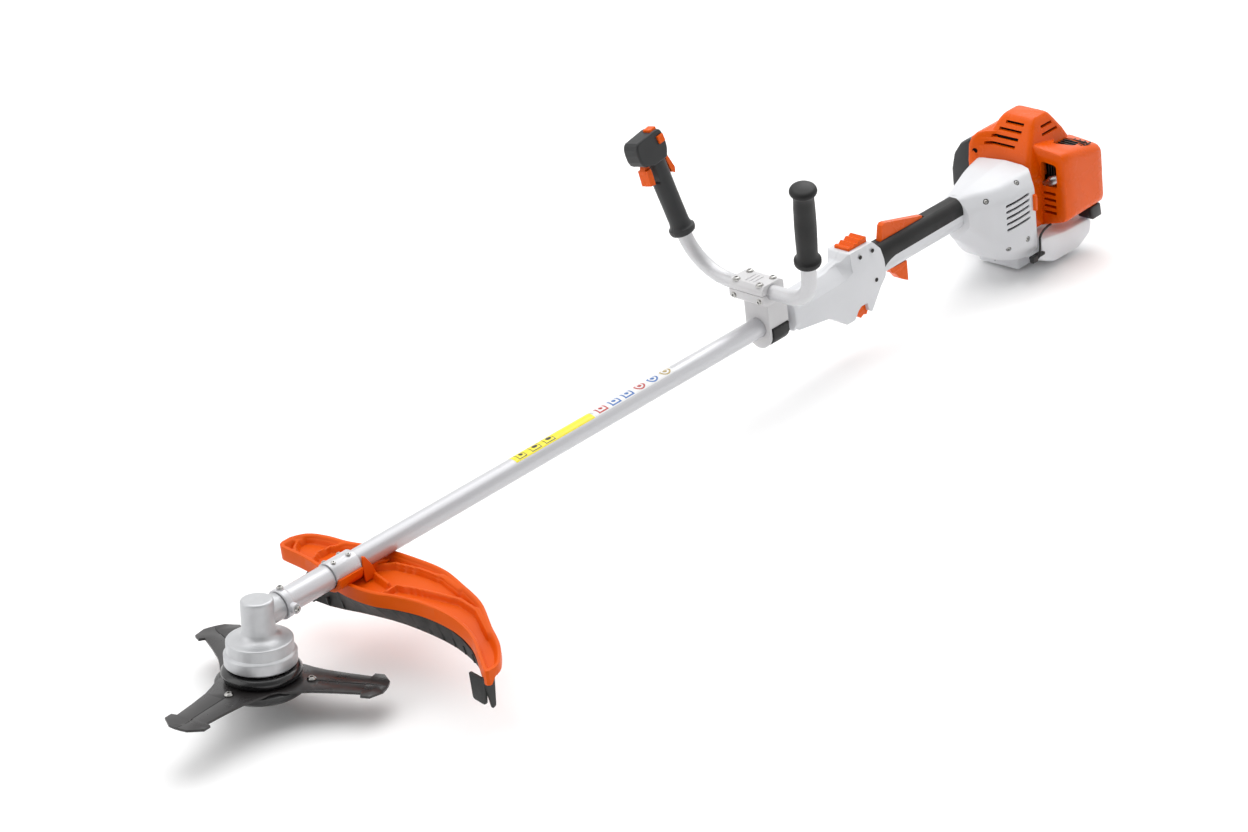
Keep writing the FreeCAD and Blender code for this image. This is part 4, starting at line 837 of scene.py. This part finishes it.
def build_muffler_cover():
    """Orange cover round the muffler with a window, slots and a meshed opening on top."""
    front = rounded([(-30, 61, 6), (-92, 54, 15), (-92, -50, 15), (-30, -69, 6)], 6)
    rear = rounded([(-30, 44, 6), (-90, 38, 15), (-90, -52, 15), (-30, -60, 6)], 6)
    sections = [(1459, inset(front, 4.0)), (1460.5, inset(front, 1.5)), (1464, front),
                (1485, lerp(front, rear, 0.18)), (1538, lerp(front, rear, 0.86)), (1549, rear),
                (1552, inset(rear, 1.5)), (1554, inset(rear, 4.5))]
    cover = skin("exhaust_cover", along_x(sections), "orange", body=None)
    cutters = [ring_cutter(along_x([(1467, inset(front, 6)), (1549, inset(rear, 6))]))]
    window = rounded([(-50, 1, 4), (-77, 0, 4), (-77, 36, 6), (-50, 39, 4)], 4)
    cutters.append(ring_cutter(along_x([(x, window) for x in (1440, 1470)])))
    for index in range(4):
        z = -9.5 - 10 * index
        cutters.append(box_cutter((1440, 1470), (-74, -52), (z - 2.2, z + 2.2)))
    top = rounded([(1490, -50, 4), (1509, -38, 4), (1532, -40, 5), (1527, -68, 5), (1511, -72, 5)], 4)
    cutters.append(ring_cutter([[(x, y, z) for x, y in top] for z in (40, 76)]))
    carve(cover, cutters)
    smooth_shade(cover, 34.0)
    show(cover, "muffler_cover")
    for index in range(7):
        x = 1496 + 6 * index
        wire = [[(x, -78, z), (x + 1.6, -78, z), (x + 1.6, -38, z), (x, -38, z)] for z in (44, 46)]
        skin("exhaust_grille_" + str(index), wire, "dark_steel")
    for index in range(5):
        y = -80 + 9 * index
        wire = [[(1490, y, z), (1540, y, z), (1540, y + 1.6, z), (1490, y + 1.6, z)] for z in (42.5, 44.5)]
        skin("exhaust_bar_" + str(index), wire, "dark_steel")


def build_muffler():
    """What shows round the exhaust cover: a dark box of painted shade inside it, fins, silver exhaust end, inner
    panel, tab, bracket.
    """
    # Dark box inside the exhaust cover, in the painted shade material: painted shade seen through the window,
    # slots and top opening
    shade_liner = [[(x, -84, -46), (x, -36, -46), (x, -36, 40), (x, -84, 34)] for x in (1476, 1540)]
    paint(skin("exhaust_liner", shade_liner, "hub"), "painted_shade")
    for index in range(5):
        y = -56 - 4.6 * index
        fin = [[(x, y, 8), (x, y, 38), (x, y - 1.4, 38), (x, y - 1.4, 8)] for x in (1468, 1478)]
        soften(skin("cylinder_fin_" + str(index), fin, "dark_steel"), 0.3)
    turned_piece("exhaust_end", (1467, -61, 6), (-0.35, 0.85, -0.35),
                 [(4, -14), (8, -12), (8.5, -4), (8, 2), (5.5, 5), (4.5, 9), (4.2, 12), (2.5, 13)],
                 "steel")
    inner = rounded([(-30, 20, 4), (-49, 16, 6), (-49, -62, 6), (-30, -64, 4)], 5)
    panel = skin("exhaust_inner_panel", along_x([(1424, inset(inner, 2)), (1426, inner), (1461, inner)]),
                 "orange")
    soften(panel, 1.0)
    tab = [[(x, -77.5, -14), (x, -66, -14), (x, -66, 12), (x, -77.5, 10)] for x in (1407, 1413)]
    soften(skin("exhaust_tab", tab, "orange"), 1.5)
    bracket = [[(x, -86, -74), (x, -58, -74), (x, -58, -56), (x, -84, -54)] for x in (1528, 1551)]
    soften(skin("rear_bracket", bracket, "hub"), 3.0)


def build_fuel_line():
    """Black fuel hose from under the exhaust cover down to its clip, and the clip's tab on the tank."""
    turns = [(1446, -72, -51), (1437, -73, -50.5), (1425, -75, -51.5), (1417, -76.5, -54),
             (1412.5, -77.5, -58), (1411.5, -78, -64), (1411, -78, -74), (1410, -78, -81),
             (1407, -78, -85.5), (1402, -78, -87.5)]
    swept("fuel_hose", turns, 1.8, "hose", "fuel_line")
    clip = [[(x, -80.5, -90), (x, -73, -90), (x, -73, -82), (x, -80.5, -80)] for x in (1391, 1403)]
    soften(skin("fuel_hose_clip", clip, "hose"), 1.6)
    tab = [[(x, -76, -89), (x, -67, -89), (x, -67, -84.5), (x, -76, -84.5)] for x in (1398, 1425)]
    soften(skin("fuel_hose_tab", tab, "hose"), 0.8)


def build_over_grip():
    """Black over-grip of the rear handle, with its rear end rounded."""
    low, high = [(Vector(corner) - HEAD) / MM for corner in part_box("rear_grip")]
    grip = copy_of("rear_grip", "over_grip", "grip")
    end = high.x - 0.3
    keep = rounded([(low.x - 5, low.z - 5, 1), (end, low.z - 0.2, 16), (end, high.z + 0.2, 13),
                    (low.x - 5, high.z + 5, 1)], 8)
    carve(grip, [prism_cutter((-60, 60), keep)], "INTERSECT")
    paint(grip, "grip")
    soften(grip, 1.0, 40.0, 3, 40.0)
    show(grip, "rear_grip")


def build_shell_screws():
    """Screws of the control housing's shells, without those of the fan shroud, which have own pieces."""
    screws = copy_of("housing_screws", "shell_screws", "dark_steel")
    shroud_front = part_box("fan_shroud")[0].x
    mesh = bmesh.new()
    mesh.from_mesh(screws.data)
    behind = [vertex for vertex in mesh.verts if (screws.matrix_world @ vertex.co).x > shroud_front]
    bmesh.ops.delete(mesh, geom=behind, context="VERTS")
    mesh.to_mesh(screws.data)
    mesh.free()
    soften(screws, 0.25, 35.0)
    show(screws, "housing_screws")


def build_filter_cover():
    """Dark air filter cover on the far side with generous bevels."""
    outline = rounded([(56, -56, 6), (104, -50, 12), (104, 2, 12), (97, 28, 10), (84, 46, 12),
                       (62, 58, 6), (58, 54, 3), (56, 20, 3)], 5)
    sections = [(1440, inset(outline, 7)), (1441.5, inset(outline, 3.5)), (1446, inset(outline, 0.8)),
                (1450, outline), (1533, outline), (1538, inset(outline, 1)), (1541.5, inset(outline, 5))]
    skin("filter_shell", along_x(sections), "control", "filter_cover", 36.0)


def build_tank():
    """Milky fuel tank with soft corners and a raised middle seam, and the seam of the foot before it."""
    side = rounded([(1418, -62, 8), (1478, -73, 10), (1546, -76, 8), (1544, -100, 20), (1512, -116, 18),
                    (1452, -115, 12), (1420, -100, 12)], 6)
    levels = []
    for y, shrink in ((-72, 7.0), (-71, 4.0), (-67.5, 1.5), (-61, 0.2), (-1.5, 0.0), (-1.2, -0.7),
                      (1.2, -0.7), (1.5, 0.0), (60, 0.2), (65, 1.5), (68, 4.0), (69, 7.0)):
        levels.append([(x, y, z) for x, z in inset(side, shrink)])
    seam = [[(x, 5.6, -112.5), (x, 6.3, -112.5), (x, 6.3, -95), (x, 5.6, -95)] for x in (1410.3, 1412)]
    skin("foot_seam", seam, "dark_steel")
    skin("tank_shell", levels, "tank", "fuel_tank", 36.0)
    neck = [(14, -2), (14, 2), (12, 4.5), (12, 13.9)]
    turned_piece("tank_neck", (1536, 62, -84), (0, 1, 0), neck, "tank")


# Handlebar clamp and mount

BAR_X, BAR_Z, BAR_R = 895.0, 60.0, 10.55


def build_clamp():
    """Two halves of the handlebar clamp round the bar, with four bolts on top and two in front."""
    upper = rounded([(875, 60.3, 0.5), (875, 68, 4), (880, 73.5, 3), (910, 73.5, 4), (918.5, 70, 5),
                     (918.5, 60.3, 0.5)], 4)
    lower = rounded([(875, 59.7, 0.5), (918.5, 59.7, 0.5), (918.5, 51, 6), (908, 43.5, 4), (881, 43.5, 4),
                     (875, 49, 4)], 4)
    for name, outline, node in (("clamp_upper", upper, "bar_clamp_cap"), ("clamp_lower", lower, None)):
        half = across(name, outline, (-32.0, 28.0), "clamp", node)
        bore = bar_cutter((BAR_X, -60, BAR_Z), (BAR_X, 60, BAR_Z), BAR_R)
        waist = box_cutter((898, 930), (-20, 17), (76.4, 90))
        carve(half, [bore, waist])
        soften(half, 1.4, 40.0, 3, 36.0)
    up, forward = (0, 0, 1), (-1, 0, 0)
    washer, seat = [(5.6, -1), (5.6, 0.5), (5.2, 0.9)], [(4.8, -1), (4.8, 0.3), (4.4, 0.7)]
    for index, (x, y) in enumerate(((881.5, 18), (908.5, 18), (881.5, -23), (908.5, -23))):
        turned_piece("clamp_washer_" + str(index), (x, y, 73.3), up, washer, "screws")
        node = None if index else "bar_clamp_bolts"
        screw_head("clamp_bolt_" + str(index), (x, y, 74.6), up, 4.3, node)
    for index, y in enumerate((20, -25)):
        turned_piece("front_screw_seat_" + str(index), (875.4, y, 52), forward, seat, "screws")
        screw_head("front_screw_" + str(index), (874.6, y, 52), forward, 3.6)
    ridge = rounded([(884, 72.5, 1), (884, 74.2, 1), (905, 74.2, 1), (905, 72.5, 1)], 2)
    for index, y in enumerate((-9, -2, 5)):
        smooth_shade(across("clamp_rib_" + str(index), ridge, (y - 0.7, y + 0.7), "clamp"), 36.0)


def build_mount():
    """Upright block between the drive tube and the clamp, round at the bottom, with its rubber block."""
    outline = [(-21.2, 44.5), (-21.2, -8)]
    outline += [(21.6 * math.cos(a), -8.5 + 22.3 * math.sin(a)) for a in
                [math.radians(192 + 156 * k / 20) for k in range(21)]]
    outline += [(21.2, -8), (21.2, 44.5)]
    upright = skin("mount_block", along_x([(x, outline) for x in (894.0, 933.0)]), "clamp", "handle_mount")
    tube = bar_cutter((880, 0, 0), (950, 0, 0), TUBE_BORE_R, 48)
    corner = box_cutter((898.6, 932.0), (-40, -13.8), (-40, 0.6))
    carve(upright, [tube, corner])
    soften(upright, 1.6, 40.0, 3, 36.0)
    pad = [(-23.4, 0), (-23.4, -13), (-20.5, -19), (-14.5, -25.5), (-14.5, 0)]
    rings = along_x([(x, pad) for x in (899.2, 931.4)])
    soften(skin("mount_pad", rings, "grip", "mount_damper"), 1.2, 40.0, 3, 36.0)
    for index in range(4):
        x = 903.5 + 7.5 * index
        rings = [[(x, y, z), (x + 4, y, z), (x + 4, y, z + 1.4), (x, y, z + 1.4)]
                 for y, z in ((-24.0, -2.6), (-20.0, -1.2))]
        soften(skin("mount_pad_nub_" + str(index), rings, "grip"), 0.4)


# Plain coloured patches on the tube

def patch(name, middle, half_length, half_width, shape, material, lift):
    """Thin patch wrapped over the top of the tube; shape is 'square' or 'disc'."""
    rings = []
    for step in range(17):
        share = math.sin(math.pi / 2 * (step / 8 - 1))
        half = half_length * (math.sqrt(max(1 - share * share, 0.003)) if shape == "disc" else 1.0)
        angle = half_width * share / TUBE_R
        ring = []
        for x, reach in ((middle - half, TUBE_R - 0.05), (middle + half, TUBE_R - 0.05),
                         (middle + half, TUBE_R + lift), (middle - half, TUBE_R + lift)):
            ring.append((x, -reach * math.sin(angle), reach * math.cos(angle)))
        rings.append(ring)
    piece = skin(name, rings, "tube")
    paint(piece, material)


def build_patches():
    """Yellow strip with plain dark blocks, then a row of small plain squares and discs on white."""
    patch("strip_yellow", 498.5, 71.5, 9.0, "square", "label_yellow", 0.12)
    for index, (x, half) in enumerate(((441, 7), (466, 8.5), (491, 8.5))):
        patch("strip_frame_" + str(index), x, half, 6.8, "square", "label_black", 0.16)
        patch("strip_panel_" + str(index), x, half - 1.1, 5.7, "square", "label_yellow", 0.20)
        patch("strip_spot_" + str(index), x + 1, half - 4.0, 3.0, "disc", "label_black", 0.24)
    patch("row_backing", 647.5, 74.5, 9.0, "square", "label_white", 0.12)
    row = (("square", "label_red"), ("square", "label_blue"), ("square", "label_blue"),
           ("disc", "label_red"), ("disc", "label_blue"), ("disc", "label_ochre"))
    for index, (shape, colour) in enumerate(row):
        x = 588 + 24.5 * index
        patch("row_mark_" + str(index), x, 8.6, 7.4, shape, colour, 0.17)
        patch("row_middle_" + str(index), x, 6.0, 5.2, shape, "label_white", 0.21)
        patch("row_spot_" + str(index), x, 3.2, 2.8, "disc", colour, 0.25)


def build_housing_lip():
    """Rounded front lip of the control housing, standing proud of the body behind the mount."""
    outline = rounded([(-13, 22, 8), (-27, 18, 9), (-28.5, -10, 12), (-20, -22, 8),
                       (20, -22, 8), (28.5, -10, 12), (27, 18, 9), (13, 22, 8)], 4)
    sections = [(940.5, inset(outline, 2.6)), (941.2, inset(outline, 1.0)), (943.0, outline),
                (948.0, outline), (950.0, inset(outline, 2.0)), (952.0, inset(outline, 5.0))]
    lip = skin("housing_lip", along_x(sections), "white", None, 36.0)
    carve(lip, [bar_cutter((930, 0, 0), (960, 0, 0), TUBE_BORE_R, 48)])
    smooth_shade(lip, 36.0)


# Stage, light and camera

CAMERA_PLACE = (-1951.8, -2735.7, 1897.9)
CAMERA_RIGHT = Vector((0.68375, -0.72143, -0.10959))
CAMERA_UP = Vector((0.39818, 0.24300, 0.88454))
CAMERA_LENS_MM = 93.8
FLOOR_DROP = 6.0


def add_camera():
    """Long-lens camera to the front left of the machine, looking slightly down."""
    data = bpy.data.cameras.new("camera")
    data.lens = CAMERA_LENS_MM
    data.sensor_width = 36.0
    data.clip_end = 50
    camera = add_object("camera", data)
    right = CAMERA_RIGHT.normalized()
    back = right.cross(CAMERA_UP).normalized()
    up = back.cross(right)
    camera.matrix_world = (Matrix.Translation(at(*CAMERA_PLACE))
                           @ Matrix((right, up, back)).transposed().to_4x4())
    bpy.context.scene.camera = camera


def area_light(name, place, target, size, power):
    """A soft square light aimed at a point."""
    data = bpy.data.lights.new(name, "AREA")
    data.size = size
    data.energy = power
    lamp = add_object(name, data)
    lamp.location = place
    lamp.rotation_euler = (target - place).to_track_quat("-Z", "Y").to_euler()


def build_stage():
    """Plain pale floor, white surroundings that darken behind the camera, and soft lights."""
    middle = (cad_box[0] + cad_box[1]) / 2
    bpy.ops.mesh.primitive_grid_add(x_subdivisions=2, y_subdivisions=2, size=30)
    floor = bpy.context.object
    floor.name = "floor"
    floor.location = (middle.x, middle.y, cad_box[0].z - FLOOR_DROP * MM)
    pale = Nodes("floor")
    tone = pale.mix(pale.span(pale.noise(2.0), 0, 1), linear(252, 252, 252), linear(254, 254, 254))
    floor.data.materials.append(pale.surface(Base_Color=tone, Roughness=0.9, Specular_IOR_Level=0.1))
    world = bpy.data.worlds.new("studio")
    world.use_nodes = True
    tree = world.node_tree
    heading = tree.nodes.new("ShaderNodeVectorMath")
    heading.operation = "DOT_PRODUCT"
    heading.inputs[1].default_value = CAMERA_RIGHT.cross(CAMERA_UP).normalized()
    tree.links.new(tree.nodes.new("ShaderNodeTexCoord").outputs["Generated"], heading.inputs[0])
    level = tree.nodes.new("ShaderNodeMapRange")
    level.interpolation_type = "SMOOTHSTEP"
    for key, value in (("From Min", 0.1), ("From Max", 0.95), ("To Min", 1.0), ("To Max", 0.38)):
        level.inputs[key].default_value = value
    tree.links.new(heading.outputs["Value"], level.inputs["Value"])
    seen = tree.nodes.new("ShaderNodeMix")
    tree.links.new(tree.nodes.new("ShaderNodeLightPath").outputs["Is Camera Ray"], seen.inputs[0])
    tree.links.new(level.outputs[0], seen.inputs[2])
    seen.inputs[3].default_value = 1.0
    tree.links.new(seen.outputs[0], tree.nodes["Background"].inputs[1])
    tree.nodes["Background"].inputs[0].default_value = (1, 1, 1, 1)
    bpy.context.scene.world = world
    area_light("key", middle + Vector((0.3, 0.4, 3.2)), middle, 3.4, 54)
    area_light("rim", middle + Vector((1.8, 0.6, 1.8)), middle, 1.6, 16)
    area_light("fill", middle + Vector((-2.4, 1.4, 1.6)), middle, 2.4, 17)
    bpy.context.scene.view_settings.view_transform = "Standard"


finish_cad_nodes()
build_guard()
build_knife()
build_blade()
build_cup()
build_housing()
build_shroud()
build_top_cover()
build_muffler_cover()
build_muffler()
build_fuel_line()
build_over_grip()
build_shell_screws()
build_filter_cover()
build_tank()
build_clamp()
build_mount()
build_patches()
build_housing_lip()
build_stage()
add_camera()
